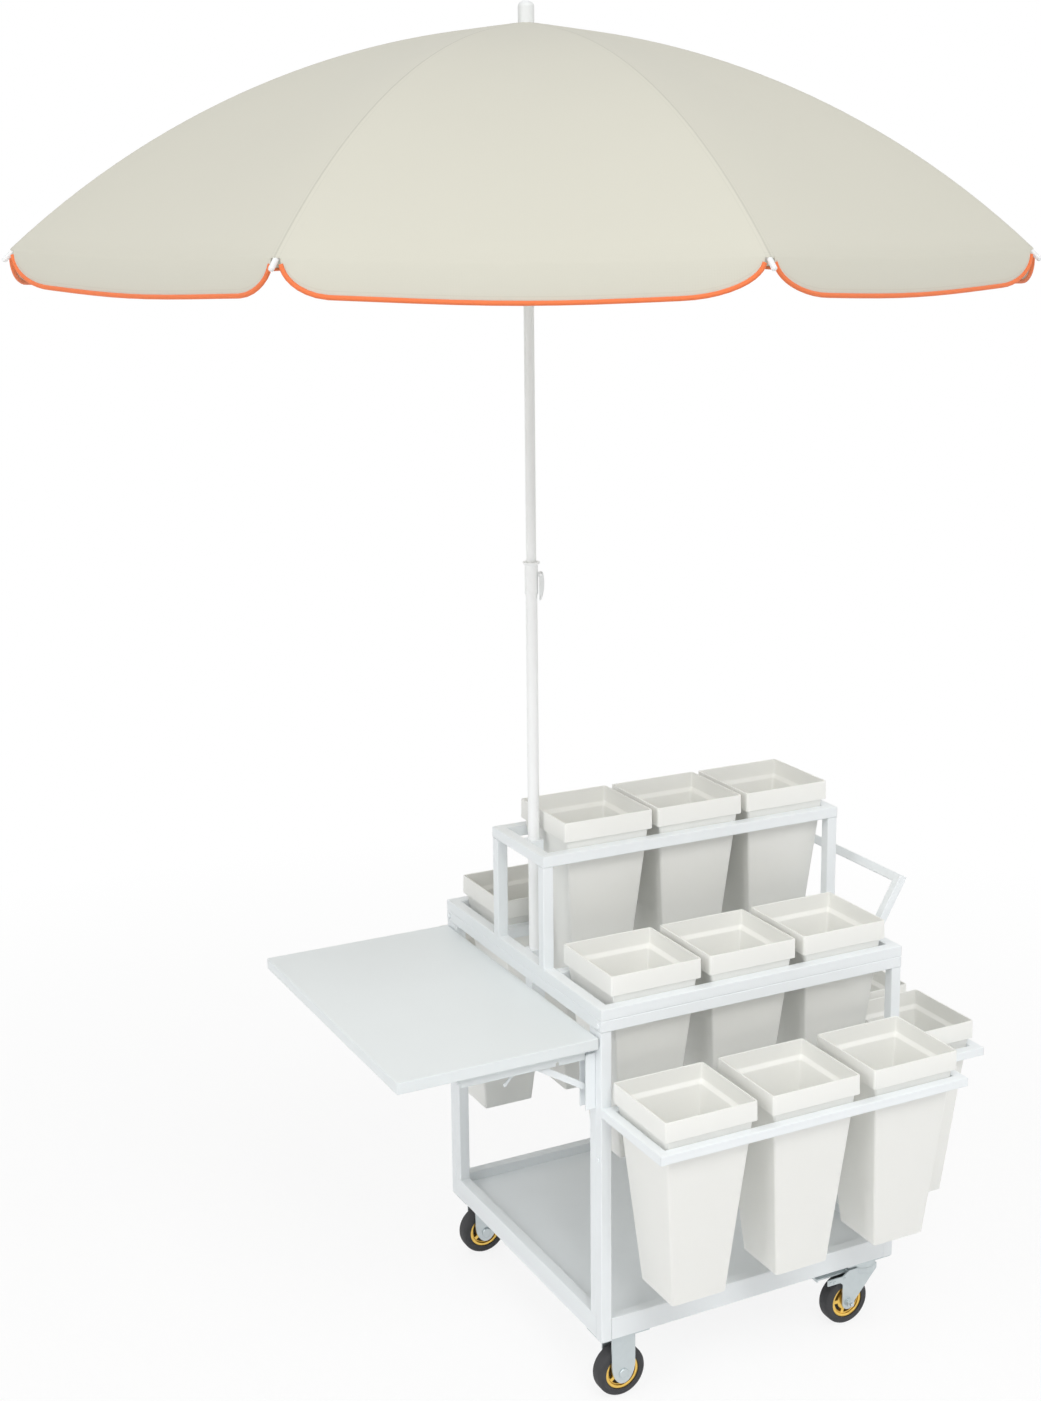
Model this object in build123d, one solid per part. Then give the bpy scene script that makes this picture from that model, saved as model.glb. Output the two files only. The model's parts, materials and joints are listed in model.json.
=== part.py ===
from build123d import *
import os
from math import cos, hypot, pi, sin, sqrt

# A flower cart on four casters, with three levels of lift-out buckets, a folding
# side leaf and a market umbrella. Sizes in millimetres.
# X runs along the cart to its push handle, Y to its back and Z up from the floor.
# The origin is on the floor, under the umbrella pole.

# Steel frame
FRAME_LENGTH = 668
FRAME_DEPTH = 674
TUBE = 22
TUBE_WALL = 1.2
TUBE_ROUND = 2
BASE_RAIL_HEIGHT = 44
DECK_TOP = 796
TIER_TOP = 1018
TRAY_SHEET = 1.2
TRAY_DROP = 20

# Bucket racks hung outside the posts
RACK_BAR = 20
RACK_BAR_HEIGHT = 18
SIDE_RACK_TOP = 606
END_RACK_TOP = 538

# Buckets
BUCKET_OPENING = 176
BUCKET_HEIGHT = 380
BUCKET_RIM = 192
BUCKET_RIM_HEIGHT = 38
BUCKET_RIM_FUNNEL = 12
BUCKET_FOOT = 113
BUCKET_WALL = 2.5
BUCKET_CORNER = 5
BUCKET_SEAT_RISE = 15
BUCKET_SEAT_GAP = 0.3
DECK_PITCH = 209
TIER_PITCH = 203
RACK_PITCH = 222
BACK_RACK_PITCH = 197
TIER_POLE_GAP = 4

# Push handle
HANDLE_TUBE = 18
HANDLE_WIDTH = 486
HANDLE_HEIGHT = 890
HANDLE_OUT = 68

# Folding leaf and its two brackets
LEAF_REACH = 393
LEAF_INSET = 4
LEAF_THICK = 22
LEAF_DROP = 10
LEAF_GAP = 2
BRACKET_STANDOFF = 14
BRACKET_LEG_WIDTH = 24
BRACKET_LEG_DROP = 102
BRACKET_SHEET = 2
BRACKET_NOSE = 6.5
BRACKET_PIN = 2.5
ARM_WIDTH = 18
ARM_SHEET = 1.5
ARM_ABOVE = 19
ARM_BELOW = 4.5
ARM_EYE = 4.5
ARM_LENGTH = 252
ARM_NOTCH_PLAY = 0.6
STRUT_PIVOT_DROP = 62
STRUT_REACH = 102
STRUT_HALF = 6
STRUT_THICK = 4
LEVER_REACH = 130
LEVER_THICK = 2
LEVER_TIP_DROP = 32
LEVER_TIP_REACH = 27
LEVER_HALF = 3.5

# Casters
WHEEL_DIAMETER = 100
WHEEL_WIDTH = 32
TYRE_DEPTH = 15
TYRE_ROUND = 8
HUB_WIDTH = 28
HUB_RING = 4
HUB_WEB = 7
HUB_BOSS = 11
HUB_SPOKES = 5
AXLE_RADIUS = 6
AXLE_FIT = 0.05
AXLE_HEAD = 9
AXLE_HEAD_THICK = 3
CASTER_HEIGHT = 135
CASTER_PLATE_LENGTH = 104
CASTER_PLATE_WIDTH = 62
CASTER_PLATE_THICK = 3
CASTER_EDGE = 2
FORK_SHEET = 3
FORK_GAP = 2
FORK_TOP_LENGTH = 50
FORK_FOOT_RADIUS = 15
FORK_ARM_REACH = 51
FORK_ARM_HEIGHT = 12
FORK_ARM_DROP = 10
RIGID_OVAL_RISE = 20
RIGID_FOOT_DROP = 21
SWIVEL_HEAD_RADIUS = 30
SWIVEL_HEAD_THICK = 12
SWIVEL_RUN_GAP = 0.4
SWIVEL_CROWN_THICK = 11
SWIVEL_TRAIL = 42
KINGPIN_RADIUS = 7
KINGPIN_FIT = 0.08
BRAKE_PIVOT_BACK = 40
BRAKE_PIVOT_DROP = 20
BRAKE_LENGTH = 75
BRAKE_HOLE = 4
BRAKE_WIDTH = 26
BRAKE_SHEET = 3
BRAKE_PIN = 3.5

# Umbrella pole
POLE_LOWER = 22
POLE_UPPER = 19
POLE_WALL = 1.0
POLE_FIT = 0.1
POLE_GUIDE = 28
POLE_SOCKET_DEPTH = 136
POLE_SOCKET_FLOOR = 6
POLE_OVERLAP = 360
CLAMP_TOP = 1559
CLAMP_HEIGHT = 61
CLAMP_RADIUS = 12.5
CLAMP_FLARE = 16
CLAMP_FLARE_HEIGHT = 3
CLAMP_LIP = 10
CLAMP_EAR = 9
CLAMP_EAR_WIDTH = 6
CLAMP_PIN_DROP = 24
CLAMP_PIN = 2.5
CAM_PLAY = 0.5
CAM_LIFT = 2
CAM_TIP = 4
CAM_BOW = 3.5
CAM_WIDTH = 15
CAM_LENGTH = 46

# Umbrella head
CANOPY_RADIUS = 905
CANOPY_TOP = 2521
CANOPY_DROP = 380
CANOPY_BELLY = 101
CANOPY_TURN = -26.8
CANOPY_SHEET = 2.5
CANOPY_HOLE = 12
PANELS = 8
FLAP_DROP = 63
FLAP_INSET = 16
FLAP_ROUND = 45
FINIAL_RADIUS = 14.5
FINIAL_HEIGHT = 41
FINIAL_ROUND = 10
CROWN_RADIUS = 27
CROWN_ABOVE = 3.8
CROWN_BELOW = 11
PIVOT_RADIUS = 20
RIB_RADIUS = 2.2
RIB_BELOW_CANOPY = 8
RIB_EYE = 4.5
RIB_EYE_THICK = 4
SLOT_PLAY = 0.3
RIB_TIP_RADIUS = 4
RIB_TIP_LENGTH = 26
STRETCHER_RADIUS = 1.7
STRETCHER_JOIN = 300
STRETCHER_OFFSET = 6
STRETCHER_EYE = 4
STRETCHER_EYE_THICK = 4
STRETCHER_CLEAR = 0.3
RUNNER_DROP = 260
RUNNER_RADIUS = 27
RUNNER_HEIGHT = 16
RUNNER_SLEEVE = 15
RUNNER_SLEEVE_HEIGHT = 46

# Bolts
BOLT_RADIUS = 5.5
BOLT_HEAD = 3
BOLT_POST_HEIGHT = 545

# Places worked out from the sizes above
LEFT = -(TUBE + POLE_GUIDE / 2)
RIGHT = LEFT + FRAME_LENGTH
MIDDLE = (LEFT + RIGHT) / 2
FRONT = -FRAME_DEPTH / 2
BACK = FRAME_DEPTH / 2
BASE_BOTTOM = CASTER_HEIGHT
BASE_TOP = BASE_BOTTOM + BASE_RAIL_HEIGHT
DECK_BOTTOM = DECK_TOP - 2 * TUBE
TIER_HALF = BUCKET_OPENING / 2 + TUBE
RACK_DEPTH = BUCKET_OPENING + 2 * RACK_BAR
DECK_ROW = -FRONT - TUBE - BUCKET_OPENING / 2
LEAF_WIDTH = FRAME_DEPTH - 2 * LEAF_INSET
LEAF_TOP = DECK_BOTTOM - LEAF_DROP
LEAF_BOTTOM = LEAF_TOP - LEAF_THICK
HINGE_X = LEFT - BRACKET_STANDOFF
HINGE_Z = LEAF_BOTTOM - ARM_ABOVE
UPRIGHT_Y = BACK - 1.5 * TUBE
AXLE_Z = WHEEL_DIAMETER / 2
CASTER_Y = BACK - CASTER_EDGE - CASTER_PLATE_WIDTH / 2
RIGID_X = LEFT + CASTER_EDGE + CASTER_PLATE_LENGTH / 2
SWIVEL_X = RIGHT - CASTER_EDGE - CASTER_PLATE_LENGTH / 2
POLE_FOOT = DECK_TOP - POLE_SOCKET_DEPTH + POLE_SOCKET_FLOOR

# Circle through the canopy's top, the middle of a rib and its tip
HALF_RADIUS = CANOPY_RADIUS / 2
ARC_HEIGHT = (
    2 * HALF_RADIUS**2 - 2 * CANOPY_BELLY**2 + CANOPY_DROP**2
) / (2 * CANOPY_DROP - 4 * CANOPY_BELLY)
ARC_SHIFT = (HALF_RADIUS**2 + CANOPY_BELLY**2 - 2 * ARC_HEIGHT * CANOPY_BELLY) / CANOPY_RADIUS
ARC_RADIUS = hypot(ARC_HEIGHT, ARC_SHIFT)
PIVOT_FALL = ARC_HEIGHT - sqrt(ARC_RADIUS**2 - (PIVOT_RADIUS - ARC_SHIFT) ** 2)
RIB_PIVOT_Z = CANOPY_TOP - RIB_BELOW_CANOPY - PIVOT_FALL
RUNNER_Z = RIB_PIVOT_Z - RUNNER_DROP


# Helpers
def block(x, y, z):
    """A box given by its low and high limits along each axis."""
    size = [high - low for low, high in (x, y, z)]
    centre = [(low + high) / 2 for low, high in (x, y, z)]
    return Pos(*centre) * Box(*size)


def across(middle, width):
    """Limits of a span of this width about a middle."""
    return middle - width / 2, middle + width / 2


def hollow_bar(x, y, z, along, wall=TUBE_WALL):
    """A square steel tube with rounded long edges, open at both ends."""
    limits = {"x": x, "y": y, "z": z}
    axis = {"x": Axis.X, "y": Axis.Y, "z": Axis.Z}[along]
    core = {
        name: span if name == along else (span[0] + wall, span[1] - wall)
        for name, span in limits.items()
    }
    outer = block(**limits)
    return fillet(outer.edges().filter_by(axis), TUBE_ROUND) - block(**core)


def mitred_bar(outline, thickness, along, core):
    """One tube of a mitred frame, from its plan outline and the core to bore out."""
    plan = make_face(Polyline(*outline, close=True))
    bar = extrude(plan, amount=thickness, dir=(0, 0, 1))
    return fillet(bar.edges().filter_by(along), TUBE_ROUND) - core


def mitred_ring(x, y, z, width):
    """Four tubes that meet in mitred corners."""
    (x0, x1), (y0, y1) = x, y
    thickness = z[1] - z[0]
    bore = (TUBE_WALL, thickness - TUBE_WALL)
    outer = [(x0, y0), (x1, y0), (x1, y1), (x0, y1)]
    inner = [
        (x0 + width, y0 + width),
        (x1 - width, y0 + width),
        (x1 - width, y1 - width),
        (x0 + width, y1 - width),
    ]
    strips = [
        (x, (y0 + TUBE_WALL, y0 + width - TUBE_WALL)),
        ((x1 - width + TUBE_WALL, x1 - TUBE_WALL), y),
        (x, (y1 - width + TUBE_WALL, y1 - TUBE_WALL)),
        ((x0 + TUBE_WALL, x0 + width - TUBE_WALL), y),
    ]
    bars = []
    for side, strip in enumerate(strips):
        following = (side + 1) % 4
        outline = (outer[side], outer[following], inner[following], inner[side])
        along = Axis.X if side % 2 == 0 else Axis.Y
        bar = mitred_bar(outline, thickness, along, block(*strip, bore))
        bars.append(Pos(0, 0, z[0]) * bar)
    return bars


def round_bar(start, end, radius):
    """A round bar between two points."""
    path = Line(start, end)
    return sweep(Plane(origin=start, z_dir=path % 0) * Circle(radius), path=path)


def side_plate(outline, y):
    """A sheet cut to an outline in the XZ plane, between two Y limits."""
    face = make_face(Plane.XZ * Polyline(*outline, close=True))
    return Pos(0, y[0], 0) * extrude(face, amount=y[1] - y[0], dir=(0, 1, 0))


def disc_y(x, z, radius, y):
    """A disc about a Y axis, between two Y limits."""
    turned = Rot(90, 0, 0) * Cylinder(radius, y[1] - y[0])
    return Pos(x, (y[0] + y[1]) / 2, z) * turned


def disc_z(x, y, radius, z):
    """A disc about a Z axis, between two Z limits."""
    return Pos(x, y, (z[0] + z[1]) / 2) * Cylinder(radius, z[1] - z[0])


def both_sides(piece):
    """The piece and its mirror image at the back of the cart."""
    return [piece, mirror(piece, about=Plane.XZ)]


nodes = {}


def add(name, *pieces):
    """Store the solids of one named piece."""
    nodes[name] = [solid for piece in pieces for solid in piece.solids()]


# Frame
def base_frame():
    """Corner posts, base rails between them and the two uprights behind the leaf."""
    ends = ((LEFT, LEFT + TUBE), (RIGHT - TUBE, RIGHT))
    sides = ((FRONT, FRONT + TUBE), (BACK - TUBE, BACK))
    base = (BASE_BOTTOM, BASE_TOP)
    tall = (BASE_BOTTOM, DECK_BOTTOM)
    bars = [hollow_bar(x, y, tall, "z") for x in ends for y in sides]
    bars += [hollow_bar((LEFT + TUBE, RIGHT - TUBE), y, base, "x") for y in sides]
    bars += [hollow_bar(x, (FRONT + TUBE, BACK - TUBE), base, "y") for x in ends]
    upright = hollow_bar(ends[0], across(UPRIGHT_Y, TUBE), (BASE_TOP, DECK_BOTTOM), "z")
    return bars + both_sides(upright)


def tray():
    """Sheet floor set a little below the top of the base rails."""
    top = BASE_TOP - TRAY_DROP
    inside_x = (LEFT + TUBE, RIGHT - TUBE)
    inside_y = (FRONT + TUBE, BACK - TUBE)
    sheet = block(inside_x, inside_y, (top - TRAY_SHEET, top))
    for x in (LEFT, RIGHT - TUBE):
        for y in (FRONT, BACK - TUBE):
            sheet -= block((x, x + TUBE), (y, y + TUBE), (BASE_BOTTOM, DECK_BOTTOM))
    return sheet


def pole_block(z, floor):
    """Block welded inside an end rail, bored for the umbrella pole."""
    half = POLE_GUIDE / 2
    body = block((-half, half), (-half, half), z)
    bore = POLE_LOWER / 2 + POLE_FIT
    return body - disc_z(0, 0, bore, (z[0] + floor, z[1] + POLE_GUIDE))


def deck_frame():
    """Two stacked rings, the inner rails of the bucket rows and the pole socket."""
    plan = ((LEFT, RIGHT), (FRONT, BACK))
    lower = mitred_ring(*plan, (DECK_BOTTOM, DECK_BOTTOM + TUBE), TUBE)
    upper_z = (DECK_TOP - TUBE, DECK_TOP)
    upper = mitred_ring(*plan, upper_z, TUBE)
    inner_y = (FRONT + TUBE + BUCKET_OPENING, FRONT + 2 * TUBE + BUCKET_OPENING)
    rail = hollow_bar((LEFT + TUBE, RIGHT - TUBE), inner_y, upper_z, "x")
    socket = pole_block((DECK_TOP - POLE_SOCKET_DEPTH, DECK_TOP), POLE_SOCKET_FLOOR)
    return lower + upper + both_sides(rail) + [socket]


def tier_frame():
    """Raised ring for the top row, on four legs, with the upper pole guide."""
    ring_z = (TIER_TOP - TUBE, TIER_TOP)
    ring = mitred_ring((LEFT, RIGHT), (-TIER_HALF, TIER_HALF), ring_z, TUBE)
    leg_z = (DECK_TOP, TIER_TOP - TUBE)
    leg_y = (-TIER_HALF, -TIER_HALF + TUBE)
    legs = []
    for x in ((LEFT, LEFT + TUBE), (RIGHT - TUBE, RIGHT)):
        legs += both_sides(hollow_bar(x, leg_y, leg_z, "z"))
    return ring + legs + [pole_block(ring_z, -POLE_GUIDE)]


def bucket_racks():
    """Rectangular racks on the front, the back and the handle end."""
    side_z = (SIDE_RACK_TOP - RACK_BAR_HEIGHT, SIDE_RACK_TOP)
    end_z = (END_RACK_TOP - RACK_BAR_HEIGHT, END_RACK_TOP)
    front = mitred_ring((LEFT, RIGHT), (FRONT - RACK_DEPTH, FRONT), side_z, RACK_BAR)
    back = mitred_ring((LEFT, RIGHT), (BACK, BACK + RACK_DEPTH), side_z, RACK_BAR)
    end = mitred_ring((RIGHT, RIGHT + RACK_DEPTH), (FRONT, BACK), end_z, RACK_BAR)
    return front + back + end


def push_handle():
    """Leaning mitred U, its arms cut flush on the deck's end rails."""
    half = HANDLE_WIDTH / 2
    rise = HANDLE_HEIGHT - (DECK_TOP - TUBE)
    reach = hypot(rise, HANDLE_OUT)
    spare = 2 * HANDLE_TUBE
    top, inside = reach + HANDLE_TUBE / 2, reach - HANDLE_TUBE / 2
    bore = (TUBE_WALL, HANDLE_TUBE - TUBE_WALL)
    grip = mitred_bar(
        ((half, top), (-half, top), (HANDLE_TUBE - half, inside), (half - HANDLE_TUBE, inside)),
        HANDLE_TUBE,
        Axis.X,
        block((-half, half), (inside + TUBE_WALL, top - TUBE_WALL), bore),
    )
    arm = mitred_bar(
        ((half, -spare), (half, top), (half - HANDLE_TUBE, inside), (half - HANDLE_TUBE, -spare)),
        HANDLE_TUBE,
        Axis.Y,
        block(
            (half - HANDLE_TUBE + TUBE_WALL, half - TUBE_WALL), (-spare, top), bore
        ),
    )
    lean = (HANDLE_OUT / reach, 0, rise / reach)
    facing = (lean[2], 0, -lean[0])
    foot = (RIGHT, 0, DECK_TOP - TUBE)
    slope = Plane(origin=foot, x_dir=(0, 1, 0), z_dir=facing)
    sunk = Pos(0, 0, -HANDLE_TUBE / 2)
    frame = block((MIDDLE, RIGHT), (FRONT, BACK), (BASE_BOTTOM, HANDLE_HEIGHT))
    bars = [grip] + [arm, mirror(arm, about=Plane.YZ)]
    return [slope * sunk * bar - frame for bar in bars]


def frame_bolts():
    """Domed bolt heads on the posts' end faces."""
    bolts = []
    for face, outward in ((LEFT, -1), (RIGHT, 1)):
        for y in (FRONT + TUBE / 2, BACK - TUBE / 2):
            for z in (DECK_BOTTOM + TUBE / 2, BOLT_POST_HEIGHT - 2 * TUBE):
                head = Rot(0, 90 * outward, 0) * Cylinder(BOLT_RADIUS, BOLT_HEAD)
                head = fillet(head.edges(), BOLT_HEAD / 3)
                bolts.append(Pos(face + outward * BOLT_HEAD / 2, y, z) * head)
    return bolts


add("base_frame", *base_frame())
add("tray", tray())
add("deck_frame", *deck_frame())
add("tier_frame", *tier_frame())
add("bucket_racks", *bucket_racks())
add("push_handle", *push_handle())
add("frame_bolts", *frame_bolts())


# Folding leaf: the panel and two channel arms turn on the bracket legs.
def bracket_leg():
    """Channel on the upright, rounded about the hinge so that the panel can pass."""
    outer_edge = HINGE_X - BRACKET_NOSE
    foot = HINGE_Z - BRACKET_LEG_DROP
    outside = across(-UPRIGHT_Y, BRACKET_LEG_WIDTH)
    web = block((LEFT - BRACKET_SHEET, LEFT), outside, (foot, HINGE_Z + BRACKET_NOSE))
    leg = web
    for y in (
        (outside[0], outside[0] + BRACKET_SHEET),
        (outside[1] - BRACKET_SHEET, outside[1]),
    ):
        cheek = block((outer_edge, LEFT), y, (foot, HINGE_Z))
        ear = block((HINGE_X, LEFT), y, (HINGE_Z, HINGE_Z + BRACKET_NOSE))
        leg += cheek + ear + disc_y(HINGE_X, HINGE_Z, BRACKET_NOSE, y)
    for z in (HINGE_Z, HINGE_Z - STRUT_PIVOT_DROP):
        leg += disc_y(HINGE_X, z, BRACKET_PIN, outside)
    return leg


def lever_limits():
    """Y limits of the front release lever."""
    upright_face = -UPRIGHT_Y + TUBE / 2
    return upright_face + SLOT_PLAY, upright_face + SLOT_PLAY + LEVER_THICK


def leaf_arm():
    """Channel arm under the panel: hinge eye, notch for the strut pin, stub for the lever."""
    outside = across(-UPRIGHT_Y, ARM_WIDTH)
    end = HINGE_X - ARM_LENGTH
    start = HINGE_X - BRACKET_NOSE
    low, high = HINGE_Z - ARM_BELOW, HINGE_Z + ARM_ABOVE
    arm = block((end, start), outside, (high - ARM_SHEET, high))
    for y in (
        (outside[0], outside[0] + ARM_SHEET),
        (outside[1] - ARM_SHEET, outside[1]),
    ):
        arm += block((end, start), y, (low, high))
        arm += block((start, HINGE_X), y, across(HINGE_Z, 2 * ARM_EYE))
        arm += disc_y(HINGE_X, HINGE_Z, ARM_EYE, y)
    hole = disc_y(HINGE_X, HINGE_Z, BRACKET_PIN + AXLE_FIT, outside)
    notch_x = HINGE_X - STRUT_PIVOT_DROP
    notch_half = BRACKET_PIN + ARM_NOTCH_PLAY
    notch = block(across(notch_x, 2 * notch_half), outside, (low, HINGE_Z))
    notch += disc_y(notch_x, HINGE_Z, notch_half, outside)
    pin_limits = (outside[1] - ARM_SHEET, lever_limits()[1])
    pin = disc_y(HINGE_X - LEVER_REACH, HINGE_Z, BRACKET_PIN, pin_limits)
    return arm - hole - notch + pin


def leaf_panel():
    """Board with softly rounded edges."""
    x = (LEFT - LEAF_GAP - LEAF_REACH, LEFT - LEAF_GAP)
    board = block(x, across(0, LEAF_WIDTH), (LEAF_BOTTOM, LEAF_TOP))
    return fillet(board.edges(), TUBE_ROUND)


def bracket_strut():
    """Flat strut from the leg's lower pin up into the arm's channel."""
    y = across(-UPRIGHT_Y, STRUT_THICK)
    foot = (HINGE_X, HINGE_Z - STRUT_PIVOT_DROP)
    head = (HINGE_X - STRUT_REACH, HINGE_Z)
    length = hypot(STRUT_REACH, STRUT_PIVOT_DROP)
    side = (STRUT_HALF * STRUT_PIVOT_DROP / length, STRUT_HALF * STRUT_REACH / length)
    outline = (
        (foot[0] + side[0], foot[1] + side[1]),
        (head[0] + side[0], head[1] + side[1]),
        (head[0] - side[0], head[1] - side[1]),
        (foot[0] - side[0], foot[1] - side[1]),
    )
    strut = side_plate(outline, y)
    for x, z in (foot, head):
        strut += disc_y(x, z, STRUT_HALF, y)
    return strut - disc_y(*foot, BRACKET_PIN + AXLE_FIT, y)


def bracket_lever():
    """Release lever on the arm's stub, inward of the upright that it folds past."""
    y = lever_limits()
    pivot = (HINGE_X - LEVER_REACH, HINGE_Z)
    tip = (pivot[0] - LEVER_TIP_REACH, pivot[1] - LEVER_TIP_DROP + LEVER_HALF)
    outline = (
        (pivot[0] - LEVER_HALF, pivot[1]),
        (tip[0] - LEVER_HALF, tip[1]),
        (tip[0] + LEVER_HALF, tip[1]),
        (pivot[0] + LEVER_HALF, pivot[1]),
    )
    lever = side_plate(outline, y)
    lever += disc_y(*pivot, LEVER_HALF, y) + disc_y(*tip, LEVER_HALF, y)
    return lever - disc_y(*pivot, BRACKET_PIN + AXLE_FIT, y)


add("leaf", leaf_panel(), *both_sides(leaf_arm()))
add("bracket_legs", *both_sides(bracket_leg()))
add("bracket_struts", *both_sides(bracket_strut()))
add("bracket_levers", *both_sides(bracket_lever()))


# Buckets: a square taper that wedges in its opening, with a deeper band at the rim.
def bucket():
    """One bucket, its foot on the XY plane."""
    body_height = BUCKET_HEIGHT - BUCKET_RIM_HEIGHT
    share = BUCKET_SEAT_RISE / body_height
    seat_width = BUCKET_OPENING - 2 * BUCKET_SEAT_GAP
    neck = (seat_width - BUCKET_FOOT * share) / (1 - share)

    def square(width, height, inset=0):
        corner = BUCKET_CORNER - inset
        rounded = RectangleRounded(width - 2 * inset, width - 2 * inset, corner)
        return Pos(0, 0, height) * rounded

    taper = (neck - BUCKET_FOOT) / body_height
    floor_width = BUCKET_FOOT + taper * BUCKET_WALL
    funnel_top = body_height + BUCKET_RIM_FUNNEL
    outer = loft([square(BUCKET_FOOT, 0), square(neck, body_height)])
    outer += extrude(square(BUCKET_RIM, body_height), amount=BUCKET_RIM_HEIGHT)
    floor = square(floor_width, BUCKET_WALL, BUCKET_WALL)
    throat = square(neck, body_height, BUCKET_WALL)
    mouth = square(BUCKET_RIM, funnel_top, BUCKET_WALL)
    hollow = loft([floor, throat]) + loft([throat, mouth])
    hollow += extrude(mouth, amount=BUCKET_RIM_HEIGHT)
    return outer - hollow


def place_row(name, shape, rail_top, middles):
    """Copies of the bucket whose rims stand a little above the rails."""
    body_height = BUCKET_HEIGHT - BUCKET_RIM_HEIGHT
    foot = rail_top + BUCKET_SEAT_RISE - body_height
    for number, (x, y) in enumerate(middles, start=1):
        add(f"bucket_{name}_{number}", Pos(x, y, foot) * shape)


steps = (-1, 0, 1)
one_bucket = bucket()
tier_first = POLE_GUIDE / 2 + TIER_POLE_GAP + BUCKET_RIM / 2
rack_row = -FRONT + RACK_BAR + BUCKET_OPENING / 2
end_row = RIGHT + RACK_BAR + BUCKET_OPENING / 2
back_last = MIDDLE + RACK_PITCH
rows = {
    "top": (TIER_TOP, [(tier_first + n * TIER_PITCH, 0) for n in range(3)]),
    "deck_front": (DECK_TOP, [(MIDDLE + n * DECK_PITCH, -DECK_ROW) for n in steps]),
    "deck_back": (DECK_TOP, [(MIDDLE + n * DECK_PITCH, DECK_ROW) for n in steps]),
    "rack_front": (SIDE_RACK_TOP, [(MIDDLE + n * RACK_PITCH, -rack_row) for n in steps]),
    "rack_back": (SIDE_RACK_TOP, [(back_last - n * BACK_RACK_PITCH, rack_row) for n in (2, 1, 0)]),
    "rack_end": (END_RACK_TOP, [(end_row, n * RACK_PITCH) for n in steps]),
}
for row_name, (row_rail, row_middles) in rows.items():
    place_row(row_name, one_bucket, row_rail, row_middles)


# Casters: rigid ones at the leaf end, swivelling ones with brakes at the handle end.
def wheel(x, y):
    """Solid tyre on a spoked hub with a plain bore."""
    outer, rim = WHEEL_DIAMETER / 2, WHEEL_DIAMETER / 2 - TYRE_DEPTH
    tread = across(y, WHEEL_WIDTH)
    tyre = disc_y(x, AXLE_Z, outer, tread)
    tyre = fillet(tyre.edges().filter_by(GeomType.CIRCLE), TYRE_ROUND)
    tyre -= disc_y(x, AXLE_Z, rim, tread)
    width = across(y, HUB_WIDTH)
    hub = disc_y(x, AXLE_Z, rim, width)
    hub -= disc_y(x, AXLE_Z, rim - HUB_RING, width)
    hub += disc_y(x, AXLE_Z, HUB_BOSS, across(y, WHEEL_WIDTH))
    hub += disc_y(x, AXLE_Z, rim - HUB_RING / 2, across(y, HUB_WEB))
    hole_ring = (rim - HUB_RING + HUB_BOSS) / 2
    hole = (rim - HUB_RING - HUB_BOSS) / 2 - HUB_RING / 2
    for spoke in range(HUB_SPOKES):
        angle = 2 * pi * spoke / HUB_SPOKES
        place = (x + hole_ring * cos(angle), AXLE_Z + hole_ring * sin(angle))
        hub -= disc_y(*place, hole, across(y, HUB_WEB))
    return [tyre, hub - disc_y(x, AXLE_Z, AXLE_RADIUS + AXLE_FIT, across(y, WHEEL_WIDTH))]


def axle(x, y):
    """Axle bolt with a head and a nut outside the fork."""
    half = WHEEL_WIDTH / 2 + FORK_GAP + FORK_SHEET
    bolt = disc_y(x, AXLE_Z, AXLE_RADIUS, (y - half, y + half))
    bolt += disc_y(x, AXLE_Z, AXLE_HEAD, (y - half - AXLE_HEAD_THICK, y - half))
    return bolt + disc_y(x, AXLE_Z, AXLE_HEAD, (y + half, y + half + AXLE_HEAD_THICK))


def rigid_cheeks(y, top_z):
    """Two tongue-shaped side plates with an oval foot around the axle."""
    inside = WHEEL_WIDTH / 2 + FORK_GAP
    oval_z = AXLE_Z + RIGID_OVAL_RISE
    oval = Plane.XZ * Ellipse(FORK_TOP_LENGTH / 2, RIGID_OVAL_RISE + RIGID_FOOT_DROP)
    cheeks = []
    for limits in ((y - inside - FORK_SHEET, y - inside), (y + inside, y + inside + FORK_SHEET)):
        cheek = block(across(RIGID_X, FORK_TOP_LENGTH), limits, (oval_z, top_z))
        cheek += Pos(RIGID_X, limits[0], oval_z) * extrude(oval, amount=FORK_SHEET, dir=(0, 1, 0))
        cheeks.append(cheek - disc_y(RIGID_X, AXLE_Z, AXLE_RADIUS, limits))
    return cheeks


def top_plate(x, y):
    """Zinc plate screwed under the base."""
    z = (BASE_BOTTOM - CASTER_PLATE_THICK, BASE_BOTTOM)
    plate = block(across(x, CASTER_PLATE_LENGTH), across(y, CASTER_PLATE_WIDTH), z)
    return fillet(plate.edges().filter_by(Axis.Z), FORK_SHEET)


def rigid_caster(y):
    """Top plate with a fixed fork and its axle."""
    plate_bottom = BASE_BOTTOM - CASTER_PLATE_THICK
    width = WHEEL_WIDTH + 2 * (FORK_GAP + FORK_SHEET)
    bridge_z = (plate_bottom - FORK_SHEET, plate_bottom)
    fork = block(across(RIGID_X, FORK_TOP_LENGTH), across(y, width), bridge_z)
    for cheek in rigid_cheeks(y, plate_bottom - FORK_SHEET):
        fork += cheek
    return [top_plate(RIGID_X, y), fork, axle(RIGID_X, y)]


def swivel_head(y):
    """Top plate and upper race of a swivelling caster, bored for the kingpin."""
    head_z = (BASE_BOTTOM - CASTER_PLATE_THICK - SWIVEL_HEAD_THICK, BASE_BOTTOM - CASTER_PLATE_THICK)
    head = disc_z(SWIVEL_X, y, SWIVEL_HEAD_RADIUS, head_z)
    return [top_plate(SWIVEL_X, y), head - disc_z(SWIVEL_X, y, KINGPIN_RADIUS + KINGPIN_FIT, head_z)]


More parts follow.
